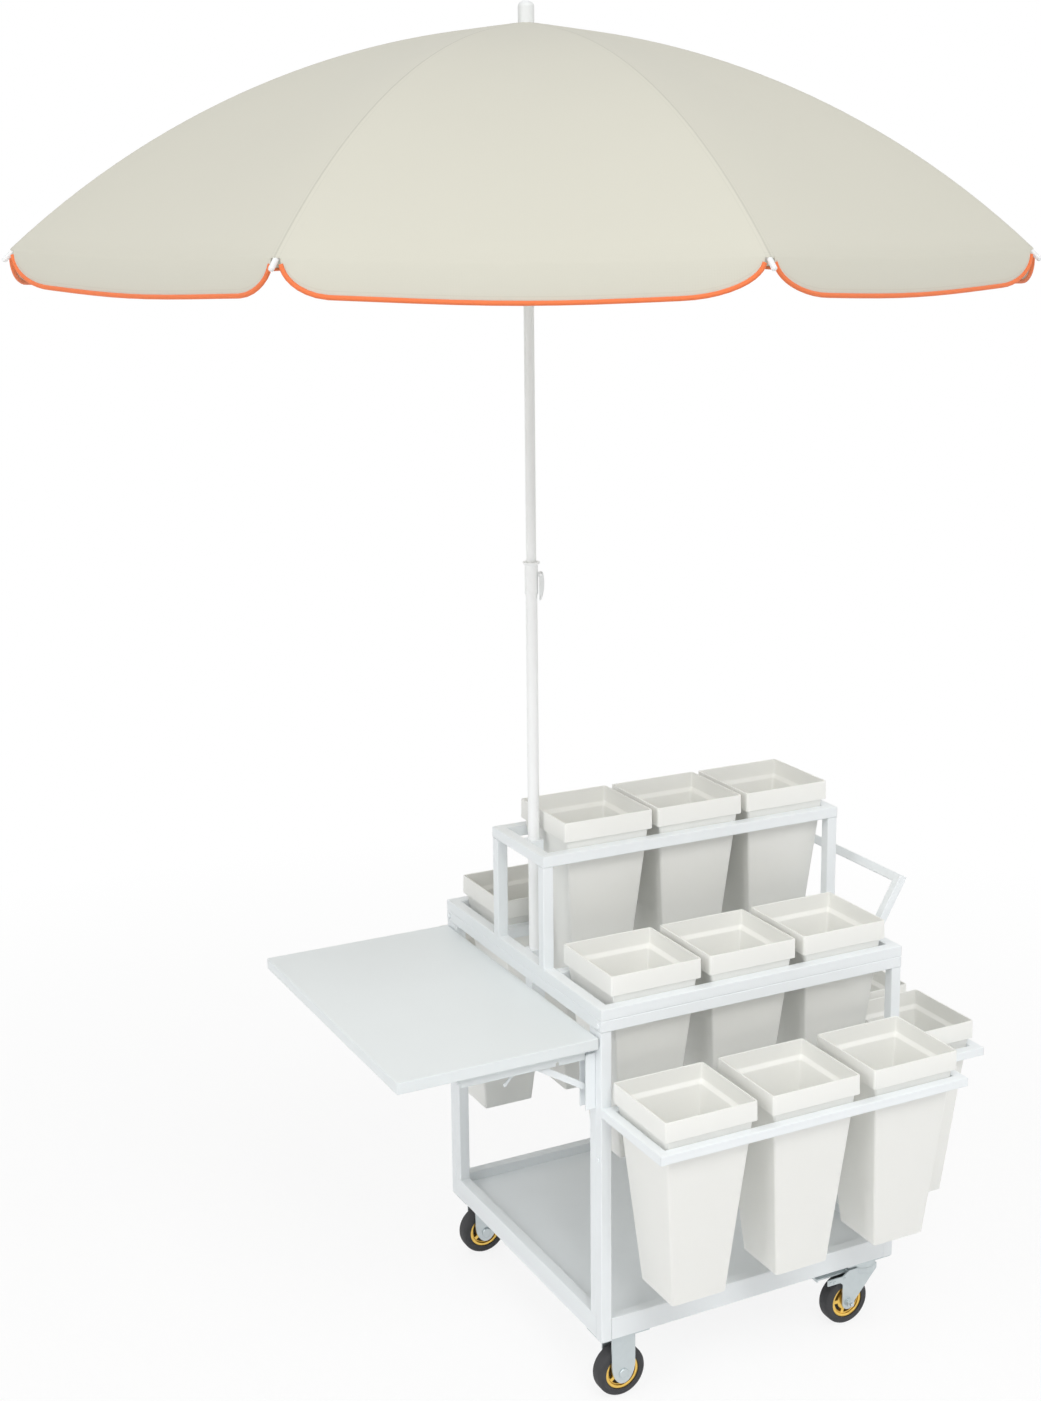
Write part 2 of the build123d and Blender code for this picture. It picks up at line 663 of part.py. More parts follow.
def swivel_fork(y):
    """Turning fork whose wheel trails behind the kingpin, with arms beside the pedal."""
    crown_top = BASE_BOTTOM - CASTER_PLATE_THICK - SWIVEL_HEAD_THICK - SWIVEL_RUN_GAP
    crown_z = (crown_top - SWIVEL_CROWN_THICK, crown_top)
    axle_x = SWIVEL_X - SWIVEL_TRAIL
    pin_top = crown_top + SWIVEL_RUN_GAP + SWIVEL_HEAD_THICK - SWIVEL_RUN_GAP
    fork = disc_z(SWIVEL_X, y, SWIVEL_HEAD_RADIUS, crown_z)
    fork += disc_z(SWIVEL_X, y, KINGPIN_RADIUS, (crown_z[0], pin_top))
    half_top = FORK_TOP_LENGTH / 2
    inside = WHEEL_WIDTH / 2 + FORK_GAP
    arm_top = crown_top - FORK_ARM_DROP
    arm_foot = arm_top - FORK_ARM_HEIGHT
    outline = (
        (SWIVEL_X + half_top, crown_top),
        (SWIVEL_X + half_top, crown_z[0]),
        (axle_x + FORK_FOOT_RADIUS, AXLE_Z),
        (axle_x - FORK_FOOT_RADIUS, AXLE_Z),
        (axle_x - FORK_FOOT_RADIUS, arm_foot - FORK_ARM_HEIGHT / 2),
        (axle_x - FORK_FOOT_RADIUS - FORK_ARM_HEIGHT / 2, arm_foot),
        (axle_x - FORK_ARM_REACH, arm_foot),
        (axle_x - FORK_ARM_REACH, arm_top),
        (axle_x - FORK_FOOT_RADIUS, arm_top),
        (axle_x, crown_top),
    )
    for limits in ((y - inside - FORK_SHEET, y - inside), (y + inside, y + inside + FORK_SHEET)):
        cheek = side_plate(outline, limits) + disc_y(axle_x, AXLE_Z, FORK_FOOT_RADIUS, limits)
        fork += cheek - disc_y(axle_x, AXLE_Z, AXLE_RADIUS, limits)
    return [fork, axle(axle_x, y)]


def brake(y):
    """Foot pedal on a pin between the fork's cheeks, above the tyre."""
    pivot_x = SWIVEL_X - BRAKE_PIVOT_BACK
    pivot_z = BASE_BOTTOM - BRAKE_PIVOT_DROP
    inside = WHEEL_WIDTH + 2 * (FORK_GAP - SLOT_PLAY)
    pedal_z = (pivot_z - BRAKE_SHEET, pivot_z)
    pedal = block((pivot_x - BRAKE_LENGTH, pivot_x), across(y, BRAKE_WIDTH), pedal_z)
    lip_x = (pivot_x - BRAKE_LENGTH, pivot_x - BRAKE_LENGTH + BRAKE_SHEET)
    pedal += block(lip_x, across(y, BRAKE_WIDTH), (pedal_z[0] - BRAKE_SHEET, pivot_z))
    hole_x = lip_x[1] + 2 * BRAKE_HOLE
    pedal -= disc_z(hole_x, y, BRAKE_HOLE, pedal_z)
    return pedal + disc_y(pivot_x, pivot_z, BRAKE_PIN, across(y, inside))


add("caster_plates", *[p for y in (-CASTER_Y, CASTER_Y) for p in rigid_caster(y) + swivel_head(y)])
for side_name, side_y in (("front", -CASTER_Y), ("back", CASTER_Y)):
    add(f"swivel_fork_{side_name}", *swivel_fork(side_y))
    add(f"caster_brake_{side_name}", brake(side_y))
    add(f"wheel_rigid_{side_name}", *wheel(RIGID_X, side_y))
    add(f"wheel_swivel_{side_name}", *wheel(SWIVEL_X - SWIVEL_TRAIL, side_y))


# Umbrella pole: the upper tube slides in the lower one and a cam lever clamps it.
def lower_pole():
    """Lower tube and the plastic clamp collar around its top."""
    tube_top = CLAMP_TOP - CLAMP_LIP
    outer, inner = POLE_LOWER / 2, POLE_UPPER / 2 + POLE_FIT
    tube = disc_z(0, 0, outer, (POLE_FOOT, tube_top))
    tube -= disc_z(0, 0, inner, (POLE_FOOT, tube_top))
    collar_foot = CLAMP_TOP - CLAMP_HEIGHT
    flare_foot = CLAMP_TOP - CLAMP_FLARE_HEIGHT
    profile = (
        (outer, collar_foot),
        (CLAMP_RADIUS, collar_foot),
        (CLAMP_RADIUS, flare_foot - CLAMP_FLARE_HEIGHT),
        (CLAMP_FLARE, flare_foot),
        (CLAMP_FLARE, CLAMP_TOP),
        (inner, CLAMP_TOP),
        (inner, tube_top),
        (outer, tube_top),
    )
    collar = revolve(make_face(Plane.XZ * Polyline(*profile, close=True)), axis=Axis.Z)
    pin_x, pin_z = clamp_pin()
    ear_y = across(0, CLAMP_EAR_WIDTH)
    ear = block(((outer + CLAMP_RADIUS) / 2, pin_x), ear_y, across(pin_z, CLAMP_EAR))
    ear += disc_y(pin_x, pin_z, CLAMP_EAR / 2, ear_y)
    ear += disc_y(pin_x, pin_z, CLAMP_PIN, across(0, CAM_WIDTH))
    return [tube, Rot(0, 0, CANOPY_TURN) * (collar + ear)]


def clamp_pin():
    """Where the clamp's pin lies: its distance from the pole's axis, and its height."""
    return CLAMP_RADIUS + CLAMP_EAR / 2 + CAM_PLAY, CLAMP_TOP - CLAMP_PIN_DROP


def clamp_lever():
    """Cam lever: two cheeks on the clamp pin and a bowed handle that lies down the collar."""
    pin_x, pin_z = clamp_pin()
    top_x = pin_x + CLAMP_EAR / 2
    inside = CLAMP_RADIUS + CAM_LIFT
    foot = pin_z - CAM_LENGTH
    tip = (inside + CAM_TIP, 0, foot)
    bulge = (top_x + CAM_BOW / 2, 0, pin_z - CAM_LENGTH / 2)
    bow = ThreePointArc((top_x, 0, pin_z), bulge, tip)
    back = Polyline(tip, (inside, 0, foot), (inside, 0, pin_z), (top_x, 0, pin_z))
    width = across(0, CAM_WIDTH)
    lever = extrude(make_face([bow, back]), amount=CAM_WIDTH / 2, both=True)
    lever += disc_y(pin_x, pin_z, CLAMP_EAR / 2, width)
    lever += disc_y(inside + CAM_TIP / 2, foot, CAM_TIP / 2, width)
    slot_z = (pin_z - CLAMP_EAR / 2 - CAM_PLAY, pin_z + CLAMP_EAR)
    lever -= block((0, 2 * top_x), across(0, CLAMP_EAR_WIDTH + 2 * SLOT_PLAY), slot_z)
    hole = disc_y(pin_x, pin_z, CLAMP_PIN + AXLE_FIT, width)
    return Rot(0, 0, CANOPY_TURN) * (lever - hole)


def upper_pole():
    """Upper tube, from inside the lower one to the crown."""
    z = (CLAMP_TOP - POLE_OVERLAP, RIB_PIVOT_Z - CROWN_BELOW)
    return disc_z(0, 0, POLE_UPPER / 2, z) - disc_z(0, 0, POLE_UPPER / 2 - POLE_WALL, z)


# Umbrella head: ribs hinge in the crown and stretchers hinge in the sliding runner.
def canopy_profile(below, start, end):
    """Part of the umbrella's circular profile in the XZ plane, lowered by a distance."""
    def point(radius):
        fall = ARC_HEIGHT - sqrt(ARC_RADIUS**2 - (radius - ARC_SHIFT) ** 2)
        return radius, 0, CANOPY_TOP - below - fall

    return ThreePointArc(point(start), point((start + end) / 2), point(end))


def slotted_hub(radius, z, slot, offset):
    """Disc with one open slot for each hinged arm."""
    hub = disc_z(0, 0, radius, z)
    for panel in range(PANELS):
        cut = block((POLE_UPPER / 2 + 2, 2 * radius), across(offset, slot), z)
        hub -= Rot(0, 0, rib_angle(panel)) * cut
    return hub


def rib_angle(panel):
    """Direction of a rib, so that the middle of a panel faces the turn angle."""
    return CANOPY_TURN + 360 * (panel + 0.5) / PANELS


def crown():
    """Slotted disc on the pole's end, and the domed finial above the canopy."""
    disc_limits = (RIB_PIVOT_Z - CROWN_BELOW, RIB_PIVOT_Z + CROWN_ABOVE)
    hub = slotted_hub(CROWN_RADIUS, disc_limits, RIB_EYE_THICK + 2 * SLOT_PLAY, 0)
    finial = disc_z(0, 0, FINIAL_RADIUS, (CANOPY_TOP, CANOPY_TOP + FINIAL_HEIGHT))
    finial = fillet(finial.edges().sort_by(Axis.Z)[-1], FINIAL_ROUND)
    stem = disc_z(0, 0, POLE_UPPER / 2, (disc_limits[1], CANOPY_TOP))
    return [hub, finial + stem]


def rib():
    """Rib along X: eye, curved rod, side boss for the stretcher and end cap."""
    start = canopy_profile(RIB_BELOW_CANOPY, PIVOT_RADIUS, CANOPY_RADIUS)
    path = canopy_profile(RIB_BELOW_CANOPY, PIVOT_RADIUS, CANOPY_RADIUS - RIB_TIP_LENGTH)
    rod = sweep(Plane(origin=path @ 0, z_dir=path % 0) * Circle(RIB_RADIUS), path=path)
    eye = disc_y((path @ 0).X, (path @ 0).Z, RIB_EYE, across(0, RIB_EYE_THICK))
    inner = path @ 1 - (path % 1) * RIB_TIP_LENGTH / 2
    cap = round_bar(inner, start @ 1, RIB_TIP_RADIUS)
    join = join_point()
    boss_end = STRETCHER_OFFSET - STRETCHER_EYE_THICK / 2 - STRETCHER_CLEAR
    boss = disc_y(join.X, join.Z, STRETCHER_EYE, (-RIB_RADIUS, boss_end))
    return rod + eye + cap + boss


def join_point():
    """Centre of the pivot where the stretcher meets the rib."""
    path = canopy_profile(RIB_BELOW_CANOPY, PIVOT_RADIUS, CANOPY_RADIUS - RIB_TIP_LENGTH)
    return path @ (STRETCHER_JOIN / CANOPY_RADIUS)


def runner():
    """Slotted disc on a sleeve that slides on the upper tube."""
    disc_limits = across(RUNNER_Z, RUNNER_HEIGHT)
    hub = slotted_hub(
        RUNNER_RADIUS, disc_limits, STRETCHER_EYE_THICK + 2 * SLOT_PLAY, STRETCHER_OFFSET
    )
    sleeve_z = (disc_limits[0] - RUNNER_SLEEVE_HEIGHT, disc_limits[0])
    hub += disc_z(0, 0, RUNNER_SLEEVE, sleeve_z)
    return hub - disc_z(0, 0, POLE_UPPER / 2 + POLE_FIT, (sleeve_z[0], disc_limits[1]))


def stretcher():
    """Stretcher along X, beside the rib, with a flat eye at each end."""
    inner = Vector(PIVOT_RADIUS, STRETCHER_OFFSET, RUNNER_Z)
    outer = join_point() + Vector(0, STRETCHER_OFFSET, 0)
    y = across(STRETCHER_OFFSET, STRETCHER_EYE_THICK)
    rod = round_bar(inner, outer, STRETCHER_RADIUS)
    return rod + disc_y(inner.X, inner.Z, STRETCHER_EYE, y) + disc_y(outer.X, outer.Z, STRETCHER_EYE, y)


def canopy():
    """Thin eight-sided dome with a rounded flap under each panel's edge."""
    def section(panel):
        over = canopy_profile(0, CANOPY_HOLE, CANOPY_RADIUS)
        under = canopy_profile(CANOPY_SHEET, CANOPY_HOLE, CANOPY_RADIUS)
        ends = [Line(over @ 1, under @ 1), Line(under @ 0, over @ 0)]
        face = make_face(Wire([over, ends[0], under, ends[1]]))
        return Rot(0, 0, rib_angle(panel)) * face

    edge = canopy_profile(CANOPY_SHEET, CANOPY_HOLE, CANOPY_RADIUS) @ 1
    apothem = CANOPY_RADIUS * cos(pi / PANELS)
    half = CANOPY_RADIUS * sin(pi / PANELS) - FLAP_INSET
    flap_shape = Rectangle(2 * half, FLAP_DROP, align=(Align.CENTER, Align.MAX))
    low_corners = flap_shape.vertices().group_by(Axis.Y)[0]
    flap_face = fillet(low_corners, FLAP_ROUND)
    upright = Plane(origin=(apothem, 0, edge.Z), x_dir=(0, 1, 0), z_dir=(1, 0, 0))
    flap = extrude(upright * flap_face, amount=-CANOPY_SHEET)
    pieces = []
    for panel in range(PANELS):
        pieces.append(loft([section(panel), section(panel + 1)], ruled=True))
        pieces.append(Rot(0, 0, rib_angle(panel + 0.5)) * flap)
    return pieces


add("mast_lower", *lower_pole())
add("clamp_lever", clamp_lever())
add("mast_upper", upper_pole())
add("crown", *crown())
add("runner", runner())
one_rib = rib()
one_stretcher = stretcher()
for number in range(PANELS):
    turn = Rot(0, 0, rib_angle(number))
    add(f"rib_{number + 1}", turn * one_rib)
    add(f"stretcher_{number + 1}", turn * one_stretcher)
add("canopy", *canopy())


os.makedirs("parts", exist_ok=True)
for name, solids in nodes.items():
    export_step(Compound(solids), f"parts/{name}.step")
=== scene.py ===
import json
import math
from collections import namedtuple

import bmesh
import bpy
from bpy.props import FloatProperty, FloatVectorProperty, IntProperty, PointerProperty
from mathutils import Matrix, Vector


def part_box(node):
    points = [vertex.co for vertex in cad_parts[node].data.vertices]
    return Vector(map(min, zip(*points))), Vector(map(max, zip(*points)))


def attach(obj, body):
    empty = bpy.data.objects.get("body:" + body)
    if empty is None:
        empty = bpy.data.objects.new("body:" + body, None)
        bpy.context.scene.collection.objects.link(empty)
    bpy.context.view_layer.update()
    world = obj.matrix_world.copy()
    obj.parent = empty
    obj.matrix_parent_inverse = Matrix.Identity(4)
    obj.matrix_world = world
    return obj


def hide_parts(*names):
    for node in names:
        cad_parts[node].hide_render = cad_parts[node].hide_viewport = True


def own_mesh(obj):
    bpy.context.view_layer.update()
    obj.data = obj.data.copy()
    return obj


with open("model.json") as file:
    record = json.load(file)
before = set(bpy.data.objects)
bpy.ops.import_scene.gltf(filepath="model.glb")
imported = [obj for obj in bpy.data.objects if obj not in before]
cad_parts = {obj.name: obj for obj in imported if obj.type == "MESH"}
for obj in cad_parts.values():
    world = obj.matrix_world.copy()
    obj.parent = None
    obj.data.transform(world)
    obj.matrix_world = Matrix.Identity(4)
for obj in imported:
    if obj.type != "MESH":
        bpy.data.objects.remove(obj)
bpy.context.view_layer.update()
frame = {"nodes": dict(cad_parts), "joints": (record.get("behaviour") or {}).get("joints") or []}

bl_info = {
    "name": "Flower Cart",
    "version": (1, 0, 0),
    "blender": (4, 5, 0),
    "location": "View3D > Sidebar > Flower Cart",
    "description": "Dresses a market flower cart: buckets, umbrella, casters, finishes and studio",
    "category": "Object",
}

MM = 0.001
PANELS = 8

# Faces are picked by how far they face a way, edges by their run in metres, and edges
# sharper than an angle in radians are rounded.
FACING = 0.9
TINY = 1e-5
SHARP = 0.6

ROW_NAMES = ("top", "deck_front", "deck_back", "rack_front", "rack_back", "rack_end")
BUCKET_NODES = [f"bucket_{row}_{place}" for row in ROW_NAMES for place in (1, 2, 3)]
SIDES = ("front", "back")
FRAME_NODES = (
    "base_frame",
    "tray",
    "deck_frame",
    "tier_frame",
    "bucket_racks",
    "push_handle",
    "frame_bolts",
    "bracket_legs",
    "bracket_struts",
    "bracket_levers",
)
# Rivets on a turning fork: distance behind its kingpin and height from the floor, in millimetres.
FORK_RIVETS = ((86, 104), (77, 102), (53, 105))
# How far the hubs of fixed and turning casters have rolled, in degrees.
HUB_ROLL = {"rigid": 36, "swivel": 0}
# How much rounder than the usual flap corner the cloth is cut beside each rib, 1 to 8.
FLAP_ROUNDING = (1.15, 1.15, 1.15, 1.15, 1.55, 1.0, 1.65, 1.35)
# Lines sewn in the cloth: what they run along, distance from it, half width (mm), darkening.
SEWN_LINES = (("seam", 0.0, 1.6, 0.14), ("seam", 7.0, 0.7, 0.04), ("hem", 9.0, 0.8, 0.05))
RIB_NODES = [f"rib_{number}" for number in range(1, PANELS + 1)]
STRETCHER_NODES = [f"stretcher_{number}" for number in range(1, PANELS + 1)]


def linear(code):
    """Turns an sRGB hex colour into linear red, green and blue."""
    shares = [int(code[place : place + 2], 16) / 255 for place in (1, 3, 5)]
    return tuple(s / 12.92 if s <= 0.04045 else ((s + 0.055) / 1.055) ** 2.4 for s in shares)


def size_property(label, text, value):
    """A length in metres that the panel shows."""
    return FloatProperty(name=label, description=text, default=value, min=0.0, unit="LENGTH")


def colour_property(label, text, code):
    """A colour that the panel shows."""
    return FloatVectorProperty(
        name=label,
        description=text,
        default=linear(code),
        min=0.0,
        max=1.0,
        size=3,
        subtype="COLOR",
    )


class FlowerCartSizes(bpy.types.PropertyGroup):
    """Sizes of the dressed pieces, in metres."""

    bucket_foot: size_property("Bucket foot", "Width of a bucket at its foot", 113 * MM)
    bucket_neck: size_property("Bucket neck", "Width under the rim band", 178.2 * MM)
    bucket_rim: size_property("Bucket rim", "Width across the rim band", 191.4 * MM)
    bucket_band: size_property("Rim band", "Height of the rim band", 38 * MM)
    bucket_wall: size_property("Bucket wall", "Wall thickness", 3 * MM)
    bucket_corner: size_property("Bucket corner", "Radius of the upright corners", 4.5 * MM)
    bucket_lip: size_property("Bucket lip", "Rounding of the rim's edges", 1.5 * MM)
    canopy_radius: size_property("Canopy radius", "From the pole to a rib's tip", 905 * MM)
    canopy_top: size_property("Canopy top", "Height of the canopy's middle", 2521 * MM)
    canopy_drop: size_property("Canopy drop", "Fall from the middle to a tip", 380 * MM)
    canopy_belly: size_property("Canopy belly", "Fall from the middle to half way out", 101 * MM)
    canopy_hole: size_property("Canopy hole", "Radius of the hole at the crown", 14.8 * MM)
    canopy_peak: size_property("Canopy peak", "How far the cloth is drawn up at the crown", 6 * MM)
    peak_reach: size_property("Peak reach", "How far out the drawn-up cloth reaches", 140 * MM)
    cloth_sag: size_property("Cloth sag", "How far a panel dips between ribs", 7 * MM)
    cloth_thickness: size_property("Cloth", "Thickness of the cloth", 0.8 * MM)
    flap_drop: size_property("Flap", "How far the flaps hang below the tips", 60.5 * MM)
    flap_round: size_property("Flap corner", "Rounding of the flaps' lower corners", 72 * MM)
    flap_inset: size_property("Flap inset", "Gap between a flap and the rib's tip", 8 * MM)
    hem_width: size_property("Hem", "Strip of cloth that turns round the rib's tip", 3 * MM)
    peg_radius: size_property("Peg", "Radius of the peg on a rib's tip", 4.4 * MM)
    peg_length: size_property("Peg length", "Length of the peg on a rib's tip", 38 * MM)
    peg_reach: size_property("Peg reach", "How far a peg stands out of the cloth", 13 * MM)
    piping_radius: size_property("Piping", "Radius of the bound edge", 3.7 * MM)
    piping_gap: size_property("Piping gap", "From a rib to where the bound edge begins", 8.5 * MM)
    tyre_round: size_property("Tyre shoulder", "Rounding of the tyre's shoulders", 8 * MM)
    # The dark rubber web inside the hub is taken for the tyre's core, and it also stands in for the
    # shade inside the hub, as painted shade seen through its windows.
    tyre_web: size_property("Tyre web", "Thickness of the rubber inside the hub", 5 * MM)
    hub_ring: size_property("Hub ring", "Width of the hub's outer ring", 6 * MM)
    hub_dish: size_property("Hub dish", "Depth of the dish inside the ring", 4 * MM)
    hub_windows: IntProperty(name="Windows", description="Openings in the hub", default=5, min=3)
    hub_spoke: size_property("Spoke", "Width of the spokes between the openings", 7 * MM)
    hub_cone: size_property("Hub cone", "Radius where the cone inside the openings begins", 18 * MM)
    fork_outside: size_property("Fork", "From the tyre's side to the fork's outer face", 5 * MM)
    rivet_radius: size_property("Axle rivet", "Radius of a fixed caster's axle head", 10 * MM)
    rivet_height: size_property("Axle rivet height", "Height of that head", 4 * MM)
    washer_radius: size_property("Washer", "Radius of the washer under an axle nut", 9 * MM)
    washer_height: size_property("Washer height", "Thickness of that washer", 1.6 * MM)
    nut_across: size_property("Nut", "Axle nut across its flats", 14 * MM)
    nut_height: size_property("Nut height", "Thickness of the axle nut", 7 * MM)
    bolt_radius: size_property("Axle bolt", "Radius of the bolt in that nut", 4 * MM)
    bolt_end: size_property("Bolt end", "How far the bolt stands out of its nut", 6 * MM)
    pin_radius: size_property("Fork rivet", "Radius of the rivets on a turning fork", 3.2 * MM)
    pin_height: size_property("Fork rivet height", "Height of those rivets", 1.6 * MM)


class FlowerCartColours(bpy.types.PropertyGroup):
    """Colours of the cart's finishes."""

    powder: colour_property("Powder coat", "Frame and brackets", "#F3F7F9")
    board: colour_property("Leaf", "Lacquered leaf", "#E9EEEF")
    bucket: colour_property("Buckets", "Moulded buckets", "#F6F6F2")
    cloth: colour_property("Canopy", "Canopy cloth", "#CBC9BC")
    piping: colour_property("Piping", "Bound edge of the canopy", "#E87640")
    pole: colour_property("Pole", "Umbrella pole", "#FBFCFC")
    moulding: colour_property("Mouldings", "Clamp, crown and rib ends", "#E6E8E8")
    rubber: colour_property("Tyres", "Solid tyres", "#3D3D3F")
    gold: colour_property("Hubs", "Plated hubs", "#F2C968")
    zinc: colour_property("Zinc", "Forks and plates", "#CBD3D5")
    floor: colour_property("Floor", "Studio floor", "#FAFAFA")


def add_node(tree, kind, inputs=None, **settings):
    """Adds a shader node, sets its options, and fills or links its inputs."""
    made = tree.nodes.new(kind)
    for name, value in settings.items():
        setattr(made, name, value)
    for socket, value in (inputs or {}).items():
        if isinstance(value, bpy.types.NodeSocket):
            tree.links.new(value, made.inputs[socket])
        else:
            made.inputs[socket].default_value = value
    return made


def start_material(name, **constants):
    """A new material and its tree and surface shader, with constant values set on the shader."""
    material = bpy.data.materials.new(name)
    material.use_nodes = True
    shader = material.node_tree.nodes["Principled BSDF"]
    for socket, value in constants.items():
        shader.inputs[socket.replace("_", " ")].default_value = value
    return material, material.node_tree, shader


def mottle(tree, place, colour, spread, patch_mm):
    """Varies a colour softly in lightness, with patches of a real size."""
    noise = add_node(tree, "ShaderNodeTexNoise", {"Vector": place, "Scale": 1 / (patch_mm * MM)})
    ramp = add_node(tree, "ShaderNodeMapRange", {"Value": noise.outputs["Fac"]})
    ramp.inputs["To Min"].default_value = 1 - spread
    ramp.inputs["To Max"].default_value = 1 + spread
    tint = add_node(
        tree,
        "ShaderNodeVectorMath",
        {0: (*colour,), 1: ramp.outputs["Result"]},
        operation="MULTIPLY",
    )
    return tint.outputs["Vector"]


def grain_bump(tree, place, grain_mm, height_mm, strength=0.5, edge_mm=0.0):
    """A fine surface grain of a real size on softened edges, as a bumped normal."""
    noise = add_node(
        tree,
        "ShaderNodeTexNoise",
        {"Vector": place, "Scale": 1 / (grain_mm * MM), "Detail": 3.0},
    )
    bump = add_node(
        tree,
        "ShaderNodeBump",
        {"Height": noise.outputs["Fac"], "Distance": height_mm * MM, "Strength": strength},
    )
    if edge_mm:
        edge = add_node(tree, "ShaderNodeBevel", {"Radius": edge_mm * MM})
        tree.links.new(edge.outputs["Normal"], bump.inputs["Normal"])
    return bump.outputs["Normal"]


def coated_material(
    name, colour, roughness, patch_mm, spread, grain_mm, height_mm, edge_mm=0.0, **more
):
    """A smooth coated or moulded surface: soft mottling, a fine grain and softened edges."""
    material, tree, shader = start_material(name, Roughness=roughness, **more)
    place = add_node(tree, "ShaderNodeTexCoord").outputs["Object"]
    tint = mottle(tree, place, colour, spread, patch_mm)
    tree.links.new(tint, shader.inputs["Base Color"])
    normal = grain_bump(tree, place, grain_mm, height_mm, edge_mm=edge_mm)
    tree.links.new(normal, shader.inputs["Normal"])
    return material


# Polyester powder coat on steel tube: satin, with an orange-peel skin of about 2 mm, drawn
# at 3 mm so that it shows.
def powder_coat(colours):
    return coated_material(
        "powder_coated_steel",
        colours.powder,
        roughness=0.36,
        patch_mm=120,
        spread=0.012,
        grain_mm=3,
        height_mm=0.06,
        edge_mm=1.0,
    )


# Board under sprayed lacquer: flatter than the tube, a little glossier.
def leaf_lacquer(colours):
    return coated_material(
        "lacquered_board",
        colours.board,
        roughness=0.32,
        patch_mm=160,
        spread=0.010,
        grain_mm=4,
        height_mm=0.03,
        edge_mm=1.5,
    )


# Injection-moulded polypropylene: warm white, waxy, light passes a little way in.
def moulded_polypropylene(colours):
    return coated_material(
        "moulded_polypropylene",
        colours.bucket,
        roughness=0.42,
        patch_mm=90,
        spread=0.008,
        grain_mm=2.5,
        height_mm=0.03,
        Subsurface_Weight=0.05,
        Subsurface_Radius=(1.0, 1.0, 0.9),
        Subsurface_Scale=0.003,
    )


# Glossy paint on drawn tube.
def pole_enamel(colours):
    return coated_material(
        "enamelled_pole",
        colours.pole,
        roughness=0.28,
        patch_mm=70,
        spread=0.010,
        grain_mm=5,
        height_mm=0.02,
    )


# Glass-filled nylon mouldings, semi-matte.
def white_nylon(colours):
    return coated_material(
        "moulded_nylon",
        colours.moulding,
        roughness=0.45,
        patch_mm=40,
        spread=0.010,
        grain_mm=1.5,
        height_mm=0.03,
        edge_mm=1.0,
    )


# Solid rubber tyre: nearly matte, with a scuffed bloom.
def tyre_rubber(colours):
    return coated_material(
        "solid_rubber",
        colours.rubber,
        roughness=0.68,
        patch_mm=12,
        spread=0.16,
        grain_mm=1.2,
        height_mm=0.10,
    )


# Zinc plating: bright and cool, with spangles of about 6 mm.
def zinc_plating(colours):
    material, tree, shader = start_material("zinc_plated_steel", Metallic=0.75)
    place = add_node(tree, "ShaderNodeTexCoord").outputs["Object"]
    spangle = 6 * MM
    cells = add_node(tree, "ShaderNodeTexVoronoi", {"Vector": place, "Scale": 1 / spangle})
    rough = add_node(tree, "ShaderNodeMapRange", {"Value": cells.outputs["Color"]})
    rough.inputs["To Min"].default_value = 0.30
    rough.inputs["To Max"].default_value = 0.46
    tree.links.new(rough.outputs["Result"], shader.inputs["Roughness"])
    tint = mottle(tree, place, colours.zinc, spread=0.05, patch_mm=14)
    tree.links.new(tint, shader.inputs["Base Color"])
    normal = grain_bump(tree, place, grain_mm=2, height_mm=0.02, strength=0.4, edge_mm=0.8)
    tree.links.new(normal, shader.inputs["Normal"])
    return material


# Yellow-passivated pressing: warm gold, fairly bright, cloudy in the dish.
def gold_plating(colours):
    material, tree, shader = start_material("passivated_hub", Metallic=0.85, Roughness=0.28)
    place = add_node(tree, "ShaderNodeTexCoord").outputs["Object"]
    tint = mottle(tree, place, colours.gold, spread=0.14, patch_mm=9)
    tree.links.new(tint, shader.inputs["Base Color"])
    normal = grain_bump(tree, place, grain_mm=1.5, height_mm=0.03, strength=0.4)
    tree.links.new(normal, shader.inputs["Normal"])
    return material


# Plain-woven coated polyester. Threads of about 0.5 mm are drawn at 2 mm so that they show.
# The map runs in metres from the middle of a panel, so threads meet at an angle on the ribs.
def canopy_cloth(colours):
    material, tree, shader = start_material("woven_polyester", Roughness=0.82, Sheen_Weight=0.15)
    flat = add_node(tree, "ShaderNodeUVMap", uv_map="cloth").outputs["UV"]
    place = add_node(tree, "ShaderNodeTexCoord").outputs["Object"]
    drawn_thread = 2 * MM
    threads = []
    for direction in ("X", "Y"):
        wave = add_node(
            tree,
            "ShaderNodeTexWave",
            {"Vector": flat, "Scale": 0.5 / drawn_thread / math.pi, "Distortion": 0.3},
            bands_direction=direction,
        )
        threads.append(wave.outputs["Fac"])
    weave = add_node(tree, "ShaderNodeMath", {0: threads[0], 1: threads[1]}, operation="ADD")
    shade = mottle(tree, place, colours.cloth, spread=0.012, patch_mm=260)
    for name, middle_mm, half_mm, depth in SEWN_LINES:
        distance = add_node(tree, "ShaderNodeAttribute", attribute_name=name).outputs["Fac"]
        line = add_node(
            tree,
            "ShaderNodeMath",
            {0: distance, 1: middle_mm * MM, 2: half_mm * MM},
            operation="COMPARE",
        )
        fade = add_node(tree, "ShaderNodeMapRange", {"Value": line.outputs["Value"]})
        fade.inputs["To Min"].default_value = 1.0
        fade.inputs["To Max"].default_value = 1.0 - depth
        sewn = add_node(
            tree,
            "ShaderNodeVectorMath",
            {0: shade, 1: fade.outputs["Result"]},
            operation="MULTIPLY",
        )
        shade = sewn.outputs["Vector"]
    tree.links.new(shade, shader.inputs["Base Color"])
    bump = add_node(
        tree,
        "ShaderNodeBump",
        {"Height": weave.outputs["Value"], "Distance": 0.1 * MM, "Strength": 0.25},
    )
    tree.links.new(bump.outputs["Normal"], shader.inputs["Normal"])
    return material


